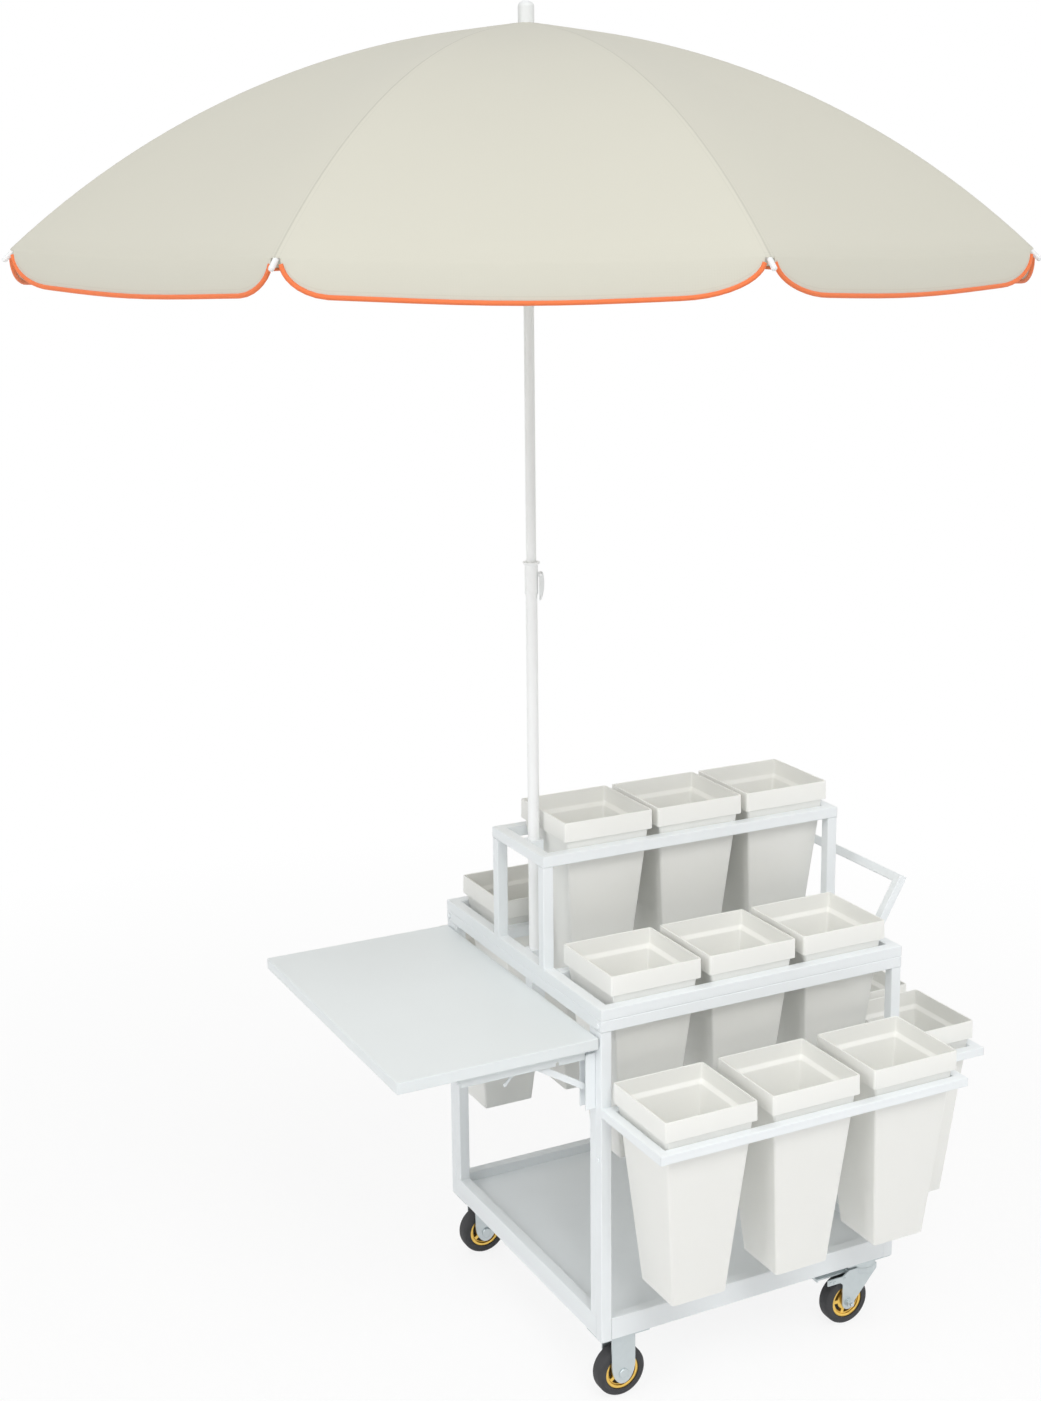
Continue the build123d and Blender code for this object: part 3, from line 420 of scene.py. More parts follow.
# Bias tape round the edge: a fine rib across the tape, drawn at 2 mm.
def edge_tape(colours):
    material, tree, shader = start_material("bias_tape", Roughness=0.7, Sheen_Weight=0.1)
    place = add_node(tree, "ShaderNodeTexCoord").outputs["Object"]
    tint = mottle(tree, place, colours.piping, spread=0.06, patch_mm=8)
    tree.links.new(tint, shader.inputs["Base Color"])
    normal = grain_bump(tree, place, grain_mm=2, height_mm=0.15)
    tree.links.new(normal, shader.inputs["Normal"])
    return material


def paint_nodes(material, *names):
    """Gives CAD nodes a finish through their material slots."""
    for name in names:
        shown = frame["nodes"][name]
        if not shown.material_slots:
            shown.data.materials.append(material)
        for place in shown.material_slots:
            place.material = material


def begin():
    """Leaves edit mode and selects nothing."""
    if bpy.context.object and bpy.context.object.mode != "OBJECT":
        bpy.ops.object.mode_set(mode="OBJECT")
    bpy.ops.object.select_all(action="DESELECT")


def pick(kind, test):
    """Selects the faces or edges of the mesh in edit mode that pass a test."""
    bpy.ops.mesh.select_mode(type="FACE" if kind == "faces" else "EDGE")
    bpy.ops.mesh.select_all(action="DESELECT")
    mesh = bpy.context.edit_object.data
    shape = bmesh.from_edit_mesh(mesh)
    shape.normal_update()
    for item in getattr(shape, kind):
        if test(item):
            item.select_set(True)
    bmesh.update_edit_mesh(mesh)


def choose(obj):
    """Makes one object the active one and the only one selected."""
    begin()
    bpy.context.view_layer.objects.active = obj
    obj.select_set(True)


def edit(obj):
    """Opens one object in edit mode."""
    choose(obj)
    bpy.ops.object.mode_set(mode="EDIT")


def extrude(move):
    """Extrudes the selected faces."""
    bpy.ops.mesh.extrude_region_move(TRANSFORM_OT_translate={"value": move})


def apply_modifier(obj, kind, **settings):
    """Adds a modifier with its settings and applies it."""
    choose(obj)
    modifier = obj.modifiers.new(kind.title(), kind)
    for name, value in settings.items():
        setattr(modifier, name, value)
    bpy.ops.object.modifier_apply(modifier=modifier.name)


def round_edges(obj, width, segments=3):
    """Rounds the sharp edges of an object."""
    apply_modifier(
        obj, "BEVEL", width=width, segments=segments, limit_method="ANGLE", angle_limit=SHARP
    )


def settle(obj, angle=35):
    """Applies the object's place, and shades it smooth up to an angle in degrees."""
    choose(obj)
    bpy.ops.object.transform_apply(location=True, rotation=True, scale=True)
    bpy.ops.object.shade_smooth_by_angle(angle=math.radians(angle))
    bpy.ops.object.select_all(action="DESELECT")
    return obj


def moved_copy(model, name, move, material):
    """A copy of a model with its own mesh, moved in its mesh and kept at the origin."""
    copy = model.copy()
    copy.data = model.data.copy()
    copy.name = name
    copy.data.transform(move)
    copy.data.materials.clear()
    copy.data.materials.append(material)
    bpy.context.scene.collection.objects.link(copy)
    return copy


def middle_of(name):
    """Middle of a CAD node's box."""
    low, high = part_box(name)
    return (Vector(low) + Vector(high)) / 2


def joint_place(child):
    """Where a body is joined to the one that carries it."""
    return Vector(next(joint["pos_m"] for joint in frame["joints"] if joint["child"] == child))


# Bucket details: height of the funnel inside the rim band, depth and edge of the hollow under
# the foot, how much the inside of the band narrows downwards, and how much its outside leans in.
RIM_FUNNEL = 7 * MM
FOOT_HOLLOW = 4 * MM
FOOT_EDGE = 8 * MM
RIM_DRAFT = 1 * MM
RIM_LEAN = 0.994


def model_bucket(sizes, height):
    """One bucket, foot on the floor: tapered body, rim band, funnel and hollow foot."""
    body = height - sizes.bucket_band
    wall = sizes.bucket_wall
    begin()
    bpy.ops.mesh.primitive_cube_add(size=1.0, location=(0, 0, body / 2))
    obj = bpy.context.active_object
    obj.scale = (sizes.bucket_foot, sizes.bucket_foot, body)
    bpy.ops.object.transform_apply(location=True, rotation=False, scale=True)
    edit(obj)

    def raise_top(rise, scale):
        extrude((0, 0, rise))
        bpy.ops.transform.resize(value=(scale, scale, 1))

    pick("faces", lambda face: face.normal.z < -FACING)
    bpy.ops.mesh.inset(thickness=FOOT_EDGE)
    extrude((0, 0, FOOT_HOLLOW))
    pick("faces", lambda face: face.normal.z > FACING and face.calc_center_median().z > body / 2)
    bpy.ops.transform.resize(value=(sizes.bucket_neck / sizes.bucket_foot,) * 2 + (1,))
    inner_neck = sizes.bucket_neck - 2 * wall
    inner_foot = sizes.bucket_foot - 2 * wall
    inner_rim = sizes.bucket_rim - 2 * wall
    raise_top(0, sizes.bucket_rim / sizes.bucket_neck)
    raise_top(sizes.bucket_band, RIM_LEAN)
    bpy.ops.mesh.inset(thickness=wall)
    raise_top(-(sizes.bucket_band - RIM_FUNNEL), inner_rim / (inner_rim + RIM_DRAFT))
    raise_top(-RIM_FUNNEL, inner_neck / inner_rim)
    raise_top(-(body - wall - FOOT_HOLLOW), inner_foot / inner_neck)

    def slanting(edge):
        run = edge.verts[0].co - edge.verts[1].co
        flat = abs(run.z) < TINY
        return not flat or (abs(run.x) > TINY and abs(run.y) > TINY)

    pick("edges", slanting)
    bpy.ops.mesh.bevel(offset=sizes.bucket_corner, segments=6, affect="EDGES", clamp_overlap=True)
    round_edges(obj, sizes.bucket_lip)
    return settle(obj)


class FLOWERCART_OT_frame(bpy.types.Operator):
    """Give the steel frame, its brackets and the leaf their finishes"""

    bl_idname = "flower_cart.frame"
    bl_label = "Frame and leaf finishes"

    def execute(self, context):
        colours = context.scene.flower_cart_colours
        paint_nodes(powder_coat(colours), *FRAME_NODES)
        paint_nodes(leaf_lacquer(colours), "leaf")
        return {"FINISHED"}


class FLOWERCART_OT_buckets(bpy.types.Operator):
    """Model one bucket and put a copy in each place on the cart"""

    bl_idname = "flower_cart.buckets"
    bl_label = "Buckets"

    def execute(self, context):
        sizes = context.scene.flower_cart_sizes
        low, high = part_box(BUCKET_NODES[0])
        model = model_bucket(sizes, high[2] - low[2])
        finish = moulded_polypropylene(context.scene.flower_cart_colours)
        for name in BUCKET_NODES:
            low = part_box(name)[0]
            middle = middle_of(name)
            move = Matrix.Translation((middle.x, middle.y, low[2]))
            piece = moved_copy(model, f"{name}_moulding", move, finish)
            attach(piece, name)
            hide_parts(name)
        bpy.data.objects.remove(model)
        return {"FINISHED"}


# The cloth's shape: how far through a half wave its dip runs from crown to rim, how much deeper
# a flap hangs in its middle, how far it flares per length of fall, and how that eases downwards.
SAG_RUN = 0.75
FLAP_BELLY = 0.1
FLAP_FLARE = 0.30
FLAP_EASE = 0.5


class CanopyShape:
    """Works out points of the canopy from the crown to the flaps' lower edge."""

    def __init__(self, sizes, rounding):
        self.sizes = sizes
        self.flap_round = sizes.flap_round * rounding
        radius, drop, belly = sizes.canopy_radius, sizes.canopy_drop, sizes.canopy_belly
        half = radius / 2
        self.arc_height = (2 * half**2 - 2 * belly**2 + drop**2) / (2 * drop - 4 * belly)
        self.arc_shift = (half**2 + belly**2 - 2 * self.arc_height * belly) / radius
        self.arc_radius = math.hypot(self.arc_height, self.arc_shift)
        self.half_angle = math.pi / PANELS
        self.half_chord = radius * math.sin(self.half_angle)
        self.apothem = radius * math.cos(self.half_angle)

    def height(self, radius):
        """Height of a rib's line at a distance from the pole."""
        rise = math.sqrt(self.arc_radius**2 - (radius - self.arc_shift) ** 2)
        drawn = max(1 - radius / self.sizes.peak_reach, 0) ** 2 * self.sizes.canopy_peak
        return self.sizes.canopy_top - self.arc_height + rise + drawn

    def off_angle(self, from_tip):
        """Angle from the rib to a point on the rim's chord, by its distance from the tip."""
        return self.half_angle - math.atan2(self.half_chord - abs(from_tip), self.apothem)

    def point(self, turn, radius, from_tip):
        """Point of the cloth on a ring through the ribs at this radius."""
        off = self.off_angle(from_tip)
        reach = radius * math.cos(self.half_angle) / math.cos(self.half_angle - off)
        side = math.copysign(off, from_tip)
        share = off / self.half_angle
        ring = radius / self.sizes.canopy_radius
        sag = self.sizes.cloth_sag * math.sin(share * math.pi / 2) ** 2
        sag *= math.sin(min(ring, 1.0) * math.pi * SAG_RUN)
        angle = turn + side
        return Vector(
            (reach * math.cos(angle), reach * math.sin(angle), self.height(radius) - sag)
        )

    def slope(self):
        """Angle at which a rib falls at its tip."""
        run = self.sizes.canopy_radius - self.arc_shift
        return math.asin(run / self.arc_radius)

    def flap_height(self, from_tip):
        """How far the flap hangs here: a hem at the tip, then a rounded corner."""
        run = (abs(from_tip) - self.sizes.flap_inset) / self.flap_round
        run = min(max(run, 0.0), 1.0)
        corner = math.sqrt(1 - (1 - run) ** 2)
        swell = math.sin(abs(from_tip) / self.half_chord * math.pi / 2)
        belly = 1 - FLAP_BELLY + FLAP_BELLY * swell
        hem = self.sizes.hem_width
        return hem + (self.sizes.flap_drop - hem) * corner * belly

    def flap_point(self, turn, from_tip, share):
        """Point on the flap, from the rim at 0 to its lower edge at 1."""
        rim = self.point(turn, self.sizes.canopy_radius, from_tip)
        outward = Vector((rim.x, rim.y, 0)).normalized()
        fall = self.flap_height(from_tip) * share
        flare = FLAP_FLARE * fall * (1 - FLAP_EASE * share)
        return rim + outward * flare - Vector((0, 0, fall))


# Columns of cloth along the rim from a rib's tip to the middle of a panel, in millimetres, close
# together at the flap's corner, and rows of cloth from crown to rim and down the flap.
RIM_STEPS = (0, 4, 8, 9, 11, 14, 19, 26, 35, 46, 60, 76, 92, 110, 130, 160, 200, 250, 300, 346.33)
RING_COUNT = 30
FLAP_ROWS = 7

# A point of the cloth: its place, its distance from the rib, half the panel's width there, its
# distance from the crown and its distance from the lower edge.
ClothPoint = namedtuple("ClothPoint", "place across half length to_edge")


def gore_columns(shape):
    """Distances from the rib's tip along the rim, on both sides of the rib."""
    steps = [min(step * MM, shape.half_chord) for step in RIM_STEPS]
    return [-step for step in reversed(steps[1:])] + steps


def gore_rows(shape, turn, columns):
    """Rows of cloth points from the crown to the flaps' lower edge."""
    full = shape.sizes.canopy_radius
    span = full - shape.sizes.canopy_hole
    rows = []
    length = 0.0
    last = None
    for ring in range(RING_COUNT + 1):
        radius = shape.sizes.canopy_hole + span * ring / RING_COUNT
        here = Vector((radius, 0, shape.height(radius)))
        length += (here - last).length if last else 0.0
        last = here
        row = []
        for column in columns:
            across = column * radius / full
            to_edge = (full - radius) / math.cos(shape.slope()) + shape.flap_height(column)
            half = shape.half_chord * radius / full
            where = shape.point(turn, radius, column)
            row.append(ClothPoint(where, across, half, length, to_edge))
        rows.append(row)
    for step in range(1, FLAP_ROWS + 1):
        share = step / FLAP_ROWS
        row = []
        for column in columns:
            fall = shape.flap_height(column)
            where = shape.flap_point(turn, column, share)
            down = fall * share
            row.append(ClothPoint(where, column, shape.half_chord, length + down, fall - down))
        rows.append(row)
    return rows


def model_gore(shape, turn, name, material):
    """Cloth on both sides of one rib, out to the middles of its two panels."""
    columns = gore_columns(shape)
    width = len(columns)
    points = [point for row in gore_rows(shape, turn, columns) for point in row]
    faces = []
    for corner in range(len(points) - width):
        if corner % width < width - 1:
            faces.append((corner, corner + width, corner + width + 1, corner + 1))
    mesh = bpy.data.meshes.new(name)
    mesh.from_pydata([tuple(point.place) for point in points], [], faces)
    layer = mesh.uv_layers.new(name="cloth")
    for face in mesh.polygons:
        side = math.copysign(1, sum(points[corner].across for corner in face.vertices))
        for loop in face.loop_indices:
            point = points[mesh.loops[loop].vertex_index]
            layer.data[loop].uv = (point.across - side * point.half, point.length)
    for mark, values in (
        ("seam", [abs(point.across) for point in points]),
        ("hem", [point.to_edge for point in points]),
    ):
        mesh.attributes.new(mark, "FLOAT", "POINT").data.foreach_set("value", values)
    mesh.materials.append(material)
    piece = bpy.data.objects.new(name, mesh)
    bpy.context.scene.collection.objects.link(piece)
    area = sum(face.area for face in mesh.polygons)
    apply_modifier(piece, "SOLIDIFY", thickness=shape.sizes.cloth_thickness, offset=-1.0)
    return settle(piece, angle=50), area


def model_piping(shape, turn, name, material):
    """Bound edge along the two half flaps beside one rib."""
    curve = bpy.data.curves.new(name, "CURVE")
    curve.dimensions = "3D"
    curve.bevel_depth = shape.sizes.piping_radius
    curve.bevel_resolution = 3
    curve.use_fill_caps = True
    for side in (-1, 1):
        columns = [c for c in gore_columns(shape) if c * side > shape.sizes.piping_gap]
        spline = curve.splines.new("POLY")
        spline.points.add(len(columns) - 1)
        for place, column in zip(spline.points, columns):
            place.co = (*shape.flap_point(turn, column, 1.0), 1.0)
    piece = bpy.data.objects.new(name, curve)
    bpy.context.scene.collection.objects.link(piece)
    choose(piece)
    bpy.ops.object.convert(target="MESH")
    piece = bpy.context.active_object
    piece.data.materials.clear()
    piece.data.materials.append(material)
    return settle(piece, angle=60)


# Pegs on the ribs: sides, share of the radius that is rounded, and how far they sit below the
# cloth.
PEG_SIDES = 24
PEG_ROUNDING = 0.8
PEG_DROP = 8 * MM


def model_peg(sizes):
    """Rounded peg along X that caps a rib, its outer end at the origin."""
    begin()
    bpy.ops.mesh.primitive_cylinder_add(
        vertices=PEG_SIDES,
        radius=sizes.peg_radius,
        depth=sizes.peg_length,
        location=(-sizes.peg_length / 2, 0, 0),
        rotation=(0, math.pi / 2, 0),
    )
    obj = bpy.context.active_object
    bpy.ops.object.transform_apply(location=True, rotation=True, scale=True)
    round_edges(obj, sizes.peg_radius * PEG_ROUNDING, segments=5)
    return settle(obj)


class FLOWERCART_OT_canopy(bpy.types.Operator):
    """Cut the canopy's gores and bind their lower edges"""

    bl_idname = "flower_cart.canopy"
    bl_label = "Canopy"

    def execute(self, context):
        sizes = context.scene.flower_cart_sizes
        colours = context.scene.flower_cart_colours
        cloth = canopy_cloth(colours)
        tape = edge_tape(colours)
        nylon = white_nylon(colours)
        peg = model_peg(sizes)
        for number, (node, rounding) in enumerate(zip(RIB_NODES, FLAP_ROUNDING), start=1):
            shape = CanopyShape(sizes, rounding)
            pivot = joint_place(node)
            turn = math.atan2(pivot.y, pivot.x)
            gore, area = model_gore(shape, turn, f"canopy_gore_{number}", cloth)
            piping = model_piping(shape, turn, f"canopy_piping_{number}", tape)
            anchor = shape.point(turn, sizes.canopy_radius / 2, 0)
            tip = shape.point(turn, sizes.canopy_radius + sizes.peg_reach, 0)
            lean = Matrix.Rotation(turn, 4, "Z") @ Matrix.Rotation(shape.slope(), 4, "Y")
            place = Matrix.Translation(tip - Vector((0, 0, PEG_DROP))) @ lean
            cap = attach(moved_copy(peg, f"{node}_peg", place, nylon), node)
            for piece in (gore, piping):
                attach(piece, node)
                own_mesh(piece)
            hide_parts("canopy")
        bpy.data.objects.remove(peg)
        return {"FINISHED"}


class FLOWERCART_OT_umbrella(bpy.types.Operator):
    """Give the pole, clamp, crown and ribs their finishes"""

    bl_idname = "flower_cart.umbrella"
    bl_label = "Umbrella pole and ribs"

    def execute(self, context):
        colours = context.scene.flower_cart_colours
        paint_nodes(pole_enamel(colours), "mast_lower", "mast_upper", *RIB_NODES, *STRETCHER_NODES)
        paint_nodes(white_nylon(colours), "clamp_lever", "crown", "runner")
        return {"FINISHED"}


# Sides of round pieces.
WHEEL_SIDES = 80
BORE_SIDES = 32
BUTTON_SIDES = 40
NUT_SIDES = 6

# Tyres: how far the hub's rim lies inside the tread, the hole in the web, and the share of the
# radius beyond which an edge belongs to a shoulder.
TYRE_DEPTH = 15 * MM
WEB_HOLE = 11 * MM
SHOULDER_SHARE = 0.98

# Hubs: how much narrower they are than the tyres, their bore, how the dish and the cone draw in,
# the rounding of the edges, the metal left inside and outside the openings, and how far the
# spokes between the openings run, as a share of the ring's radius.
HUB_NARROWER = 4 * MM
HUB_BORE = 6.05 * MM
DISH_DRAFT = 0.97
CONE_DRAFT = 0.6
HUB_EDGE = 1.2 * MM
WINDOW_EDGE = 1.5 * MM
SPOKE_REACH = 1.2

# Rounding of the axle nut and of its bolt, and of a button's edge as a share of its height.
NUT_EDGE = 0.8 * MM
BOLT_EDGE = 1.5 * MM
BUTTON_ROUNDING = 0.7


def cylinder_y(radius, depth, sides):
    """A plain cylinder about the Y axis, to be shaped or to cut with."""
    begin()
    bpy.ops.mesh.primitive_cylinder_add(
        vertices=sides, radius=radius, depth=depth, rotation=(math.pi / 2, 0, 0)
    )
    obj = bpy.context.active_object
    bpy.ops.object.transform_apply(location=True, rotation=True, scale=True)
    return obj


def model_tyre(sizes, radius, rim, width):
    """Solid tyre about the Y axis, with rounded shoulders and a dark rubber web inside the hub,
    taken for the tyre's core and also filling the hub's windows with painted shade.
    """
    obj = cylinder_y(radius, width, WHEEL_SIDES)
    edit(obj)
    for side in (-1, 1):
        pick("faces", lambda face: face.normal.y * side > FACING)
        bpy.ops.mesh.inset(thickness=radius - rim)
        sink = -side * (width - sizes.tyre_web) / 2
        extrude((0, sink, 0))
        bpy.ops.mesh.inset(thickness=rim - WEB_HOLE)
        bpy.ops.mesh.delete(type="FACE")

    def shoulder(edge):
        middle = (edge.verts[0].co + edge.verts[1].co) / 2
        ring = math.hypot(middle.x, middle.z)
        along = abs(edge.verts[0].co.y - edge.verts[1].co.y)
        return ring > radius * SHOULDER_SHARE and along < TINY

    pick("edges", lambda edge: edge.is_boundary)
    bpy.ops.mesh.bridge_edge_loops()
    pick("edges", shoulder)
    bpy.ops.mesh.bevel(offset=sizes.tyre_round, segments=6, affect="EDGES")
    bpy.ops.mesh.select_all(action="SELECT")
    bpy.ops.mesh.normals_make_consistent(inside=False)
    bpy.ops.object.mode_set(mode="OBJECT")
    return settle(obj, angle=40)


def cut(obj, cutter):
    """Takes one shape out of another and removes the cutter."""
    apply_modifier(obj, "BOOLEAN", operation="DIFFERENCE", object=cutter, solver="EXACT")
    bpy.data.objects.remove(cutter)


def hub_windows(sizes, inner, outer, depth):
    """Sectors of a ring about the Y axis, with a spoke's width left between them."""
    ring = cylinder_y(outer, depth, WHEEL_SIDES)
    cut(ring, cylinder_y(inner, 2 * depth, WHEEL_SIDES))
    for number in range(sizes.hub_windows):
        begin()
        bpy.ops.mesh.primitive_cube_add(size=1.0, location=(outer / 2, 0, 0))
        spoke = bpy.context.active_object
        spoke.scale = (outer * SPOKE_REACH, 2 * depth, sizes.hub_spoke)
        bpy.ops.object.transform_apply(location=True, rotation=True, scale=True)
        turn = 2 * math.pi * (number + 0.5) / sizes.hub_windows
        spoke.data.transform(Matrix.Rotation(turn, 4, "Y"))
        cut(ring, spoke)
    return ring


def model_hub(sizes, rim, width):
    """Pressed hub about the Y axis: ring, dish, windows, cone and boss."""
    obj = cylinder_y(rim, width, WHEEL_SIDES)
    edit(obj)
    floor = (rim - sizes.hub_ring) * DISH_DRAFT
    for side in (-1, 1):
        pick("faces", lambda face: face.normal.y * side > FACING)
        bpy.ops.mesh.inset(thickness=sizes.hub_ring)
        dish = -side * sizes.hub_dish
        extrude((0, dish, 0))
        bpy.ops.transform.resize(value=(DISH_DRAFT, 1, DISH_DRAFT))
        bpy.ops.mesh.inset(thickness=floor - sizes.hub_cone)
        extrude((0, -dish, 0))
        bpy.ops.transform.resize(value=(CONE_DRAFT, 1, CONE_DRAFT))
    round_edges(obj, HUB_EDGE)
    cut(obj, hub_windows(sizes, sizes.hub_cone + WINDOW_EDGE, floor - WINDOW_EDGE, 2 * width))
    cut(obj, cylinder_y(HUB_BORE, 4 * width, BORE_SIDES))
    return settle(obj)


def turned_disc(radius, height, sides):
    """A disc or prism about the Y axis, its inner face at the origin and its outer face at -Y."""
    obj = cylinder_y(radius, height, sides)
    obj.data.transform(Matrix.Translation((0, -height / 2, 0)))
    return obj


def model_nut(sizes):
    """Hexagon nut with the rounded end of its bolt standing out."""
    nut = turned_disc(sizes.nut_across / math.sqrt(3), sizes.nut_height, NUT_SIDES)
    bolt = turned_disc(sizes.bolt_radius, sizes.nut_height + sizes.bolt_end, BORE_SIDES)
    round_edges(nut, NUT_EDGE)
    round_edges(bolt, BOLT_EDGE)
    choose(nut)
    bolt.select_set(True)
    bpy.ops.object.join()
    return settle(nut)


def model_button(radius, height):
    """Rivet head or washer: a disc with a rounded outer edge."""
    obj = turned_disc(radius, height, BUTTON_SIDES)
    edit(obj)
    pick("edges", lambda edge: all(corner.co.y < -height / 2 for corner in edge.verts))
    bpy.ops.mesh.bevel(offset=height * BUTTON_ROUNDING, segments=5, affect="EDGES")
    bpy.ops.object.mode_set(mode="OBJECT")
    return settle(obj)


def fasten(model, name, place, outward, material, body):
    """Puts a fastener on one side of a fork, its head outwards."""
    turn = Matrix.Rotation(0 if outward < 0 else math.pi, 4, "Z")
    piece = moved_copy(model, name, Matrix.Translation(place) @ turn, material)
    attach(piece, body)


class FLOWERCART_OT_casters(bpy.types.Operator):
    """Model tyres, hubs and axle nuts, and finish forks and brakes"""

    bl_idname = "flower_cart.casters"
    bl_label = "Casters"

    def execute(self, context):
        sizes = context.scene.flower_cart_sizes
        colours = context.scene.flower_cart_colours
        rubber = tyre_rubber(colours)
        gold = gold_plating(colours)
        zinc = zinc_plating(colours)
        low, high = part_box("wheel_rigid_front")
        radius = (high[2] - low[2]) / 2
        width = high[1] - low[1]
        rim = radius - TYRE_DEPTH
        tyre = model_tyre(sizes, radius, rim, width)
        hub = model_hub(sizes, rim, width - HUB_NARROWER)
        nut = model_nut(sizes)
        washer = model_button(sizes.washer_radius, sizes.washer_height)
        rivet = model_button(sizes.rivet_radius, sizes.rivet_height)
        pin = model_button(sizes.pin_radius, sizes.pin_height)
        reach = width / 2 + sizes.fork_outside
        for kind in ("rigid", "swivel"):
            for side in SIDES:
                node = f"wheel_{kind}_{side}"
                centre = middle_of(node)
                move = Matrix.Translation(centre)
                tyre_piece = moved_copy(tyre, f"{node}_tyre", move, rubber)
                roll = Matrix.Rotation(math.radians(HUB_ROLL[kind]), 4, "Y")
                hub_piece = moved_copy(hub, f"{node}_hub", move @ roll, gold)
                for piece in (tyre_piece, hub_piece):
                    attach(piece, node)
                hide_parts(node)
                for outward, face in ((-1, "near"), (1, "far")):
                    place = centre + Vector((0, outward * reach, 0))
                    if kind == "rigid":
                        fasten(rivet, f"{node}_rivet_{face}", place, outward, zinc, "frame")
                        continue
                    body = f"swivel_{side}"
                    fasten(washer, f"{node}_washer_{face}", place, outward, zinc, body)
                    on_washer = place + Vector((0, outward * sizes.washer_height, 0))
                    fasten(nut, f"{node}_nut_{face}", on_washer, outward, zinc, body)
                    for number, (back, height) in enumerate(FORK_RIVETS, start=1):
                        spot = joint_place(body) + Vector((-back * MM, 0, height * MM))
                        spot.y = place.y
                        fasten(pin, f"{body}_pin_{face}_{number}", spot, outward, zinc, body)
        for model in (tyre, hub, nut, washer, rivet, pin):
            bpy.data.objects.remove(model)
        paint_nodes(zinc, "caster_plates")
        for side in SIDES:
            paint_nodes(zinc, f"swivel_fork_{side}", f"caster_brake_{side}")
        return {"FINISHED"}


# The photograph's camera, fitted to the cart's corners: place in metres and view in degrees.
CAMERA_PLACE = (-1.634, -3.296, 2.210)
CAMERA_DOWN = 12.167
CAMERA_TURN = 28.939
PHOTO_SIZE = (1041, 1401)
PHOTO_FOCAL = 1997.2
PHOTO_CENTRE = (619.5, 635.7)
SENSOR = 36.0

# The floor's width and the distances from its middle over which it fades into the background,
# in metres, and how white it is by itself close to the cart.
FLOOR_SIZE = 60.0
FLOOR_NEAR = 1.2
FLOOR_FAR = 3.2
FLOOR_GLOW = 0.85

# Light of the surround at the horizon and overhead, and the height where overhead begins.
SKY_LOW = 0.10
SKY_HIGH = 0.70
SKY_REACH = 0.7

# Soft boxes: place and aim in metres, and power in watts.
LAMPS = {
    "key_lamp": ((-0.6, -4.0, 4.9), (0.2, 0.0, 1.0), 112),
    "side_lamp": ((-4.2, -1.2, 2.8), (0.0, 0.0, 1.0), 56),
    "fill_lamp": ((3.6, -2.6, 2.4), (0.2, 0.0, 0.8), 20),
}
LAMP_SIZE = 2.6


def add_lamp(name, place, aim, power):
    """A square soft box aimed at a point."""
    lamp = bpy.data.lights.new(name, "AREA")
    lamp.shape = "SQUARE"
    lamp.size = LAMP_SIZE
    lamp.energy = power
    holder = bpy.data.objects.new(name, lamp)
    holder.location = place
    holder.rotation_euler = (Vector(aim) - Vector(place)).to_track_quat("-Z", "Y").to_euler()
    bpy.context.scene.collection.objects.link(holder)


def studio_floor(colours):
    """Pale floor that keeps soft shadows and fades into the white background."""
    material, tree, shader = start_material("studio_floor", Roughness=0.9)
    shader.inputs["Base Color"].default_value = (*colours.floor, 1)
    place = add_node(tree, "ShaderNodeTexCoord").outputs["Object"]
    away = add_node(tree, "ShaderNodeVectorMath", {0: place}, operation="LENGTH")
    fade = add_node(tree, "ShaderNodeMapRange", {"Value": away.outputs["Value"]})
    fade.inputs["From Min"].default_value = FLOOR_NEAR
    fade.inputs["From Max"].default_value = FLOOR_FAR
    fade.inputs["To Min"].default_value = FLOOR_GLOW
    path = add_node(tree, "ShaderNodeLightPath")
    seen = add_node(
        tree,
        "ShaderNodeMath",
        {0: path.outputs["Is Camera Ray"], 1: path.outputs["Is Glossy Ray"]},
        operation="MAXIMUM",
    )
    share = add_node(
        tree,
        "ShaderNodeMath",
        {0: seen.outputs["Value"], 1: fade.outputs["Result"]},
        operation="MULTIPLY",
    )
    glow = add_node(tree, "ShaderNodeEmission", {"Color": (1, 1, 1, 1), "Strength": 1.0})
    mix = add_node(
        tree,
        "ShaderNodeMixShader",
        {0: share.outputs["Value"], 1: shader.outputs["BSDF"], 2: glow.outputs["Emission"]},
    )
    tree.links.new(mix.outputs["Shader"], tree.nodes["Material Output"].inputs["Surface"])
    return material


def studio_world():
    """White surround: pure white to the camera, softer as light on the cart."""
    world = bpy.data.worlds.new("studio")
    world.use_nodes = True
    tree = world.node_tree
    tree.nodes.clear()
    path = add_node(tree, "ShaderNodeLightPath")
    seen = path.outputs["Is Camera Ray"]
    for ray in ("Is Glossy Ray", "Is Transmission Ray"):
        either = {0: seen, 1: path.outputs[ray]}
        seen = add_node(tree, "ShaderNodeMath", either, operation="MAXIMUM").outputs["Value"]
    direction = add_node(tree, "ShaderNodeTexCoord").outputs["Generated"]
    height = add_node(tree, "ShaderNodeSeparateXYZ", {"Vector": direction}).outputs["Z"]
    sky = add_node(tree, "ShaderNodeMapRange", {"Value": height})
    sky.inputs["From Max"].default_value = SKY_REACH
    sky.inputs["To Min"].default_value = SKY_LOW
    sky.inputs["To Max"].default_value = SKY_HIGH
    strength = add_node(tree, "ShaderNodeMapRange", {"Value": seen})
    strength.inputs["To Max"].default_value = 1.0
    tree.links.new(sky.outputs["Result"], strength.inputs["To Min"])
    light = add_node(
        tree,
        "ShaderNodeBackground",
        {"Color": (1, 1, 1, 1), "Strength": strength.outputs["Result"]},
    )
    output = add_node(tree, "ShaderNodeOutputWorld")
    tree.links.new(light.outputs["Background"], output.inputs["Surface"])
    return world


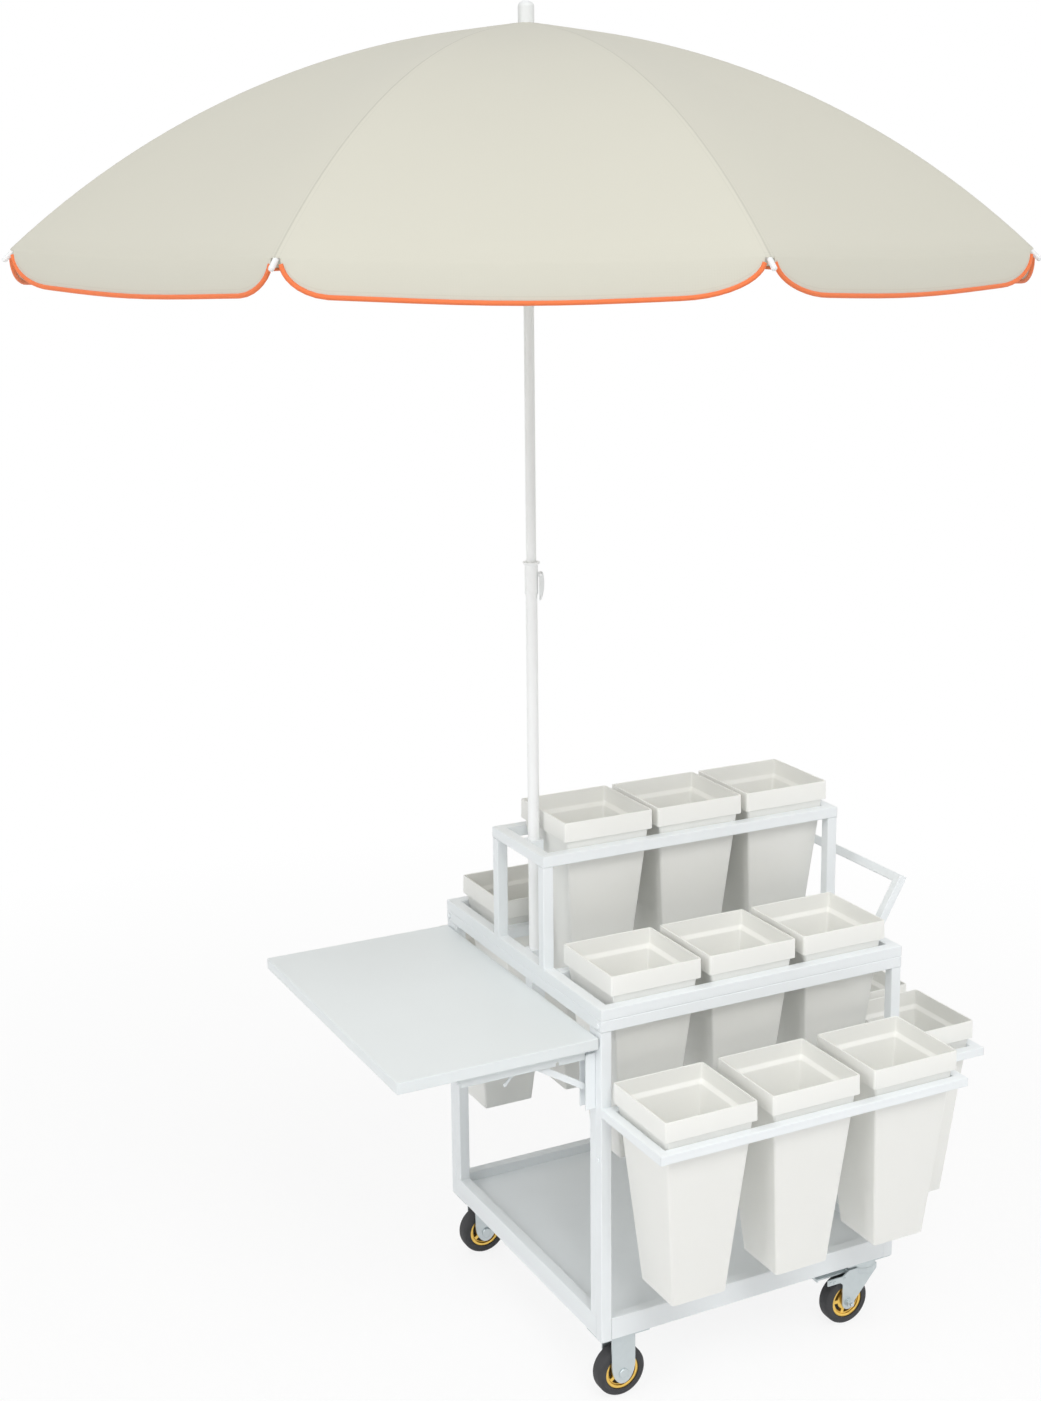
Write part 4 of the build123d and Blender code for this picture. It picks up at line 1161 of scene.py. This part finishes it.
class FLOWERCART_OT_stage(bpy.types.Operator):
    """Set up the floor, lamps, surround and the photograph's camera"""

    bl_idname = "flower_cart.stage"
    bl_label = "Stage"

    def execute(self, context):
        scene = context.scene
        begin()
        bpy.ops.mesh.primitive_plane_add(size=FLOOR_SIZE)
        floor = context.active_object
        floor.name = "floor"
        floor.data.materials.append(studio_floor(scene.flower_cart_colours))
        scene.world = studio_world()
        for name, (place, aim, power) in LAMPS.items():
            add_lamp(name, place, aim, power)
        eye = bpy.data.cameras.new("camera")
        eye.sensor_fit = "VERTICAL"
        eye.sensor_height = SENSOR
        eye.lens = SENSOR * PHOTO_FOCAL / PHOTO_SIZE[1]
        eye.shift_x = -(PHOTO_CENTRE[0] - PHOTO_SIZE[0] / 2) / PHOTO_SIZE[1]
        eye.shift_y = -(PHOTO_SIZE[1] / 2 - PHOTO_CENTRE[1]) / PHOTO_SIZE[1]
        camera = bpy.data.objects.new("camera", eye)
        camera.location = CAMERA_PLACE
        camera.rotation_euler = (
            math.radians(90 - CAMERA_DOWN),
            0,
            math.radians(-CAMERA_TURN),
        )
        scene.collection.objects.link(camera)
        scene.camera = camera
        scene.view_settings.view_transform = "Standard"
        return {"FINISHED"}


class FLOWERCART_PT_panel(bpy.types.Panel):
    """Sidebar panel with the cart's sizes, colours and steps"""

    bl_idname = "FLOWERCART_PT_panel"
    bl_label = "Flower Cart"
    bl_space_type = "VIEW_3D"
    bl_region_type = "UI"
    bl_category = "Flower Cart"

    def draw(self, context):
        layout = self.layout
        for group in (context.scene.flower_cart_sizes, context.scene.flower_cart_colours):
            column = layout.column()
            for name in group.bl_rna.properties.keys():
                if name not in ("rna_type", "name"):
                    column.prop(group, name)
        for step in STEPS:
            layout.operator(step.bl_idname)


STEPS = (
    FLOWERCART_OT_frame,
    FLOWERCART_OT_buckets,
    FLOWERCART_OT_canopy,
    FLOWERCART_OT_umbrella,
    FLOWERCART_OT_casters,
    FLOWERCART_OT_stage,
)
CLASSES = (FlowerCartSizes, FlowerCartColours, *STEPS, FLOWERCART_PT_panel)


def register():
    for item in CLASSES:
        bpy.utils.register_class(item)
    bpy.types.Scene.flower_cart_sizes = PointerProperty(type=FlowerCartSizes)
    bpy.types.Scene.flower_cart_colours = PointerProperty(type=FlowerCartColours)


def unregister():
    del bpy.types.Scene.flower_cart_colours
    del bpy.types.Scene.flower_cart_sizes
    for item in reversed(CLASSES):
        bpy.utils.unregister_class(item)


def main():
    register()
    for step in STEPS:
        group, name = step.bl_idname.split(".")
        getattr(getattr(bpy.ops, group), name)()


if __name__ == "__main__":
    main()
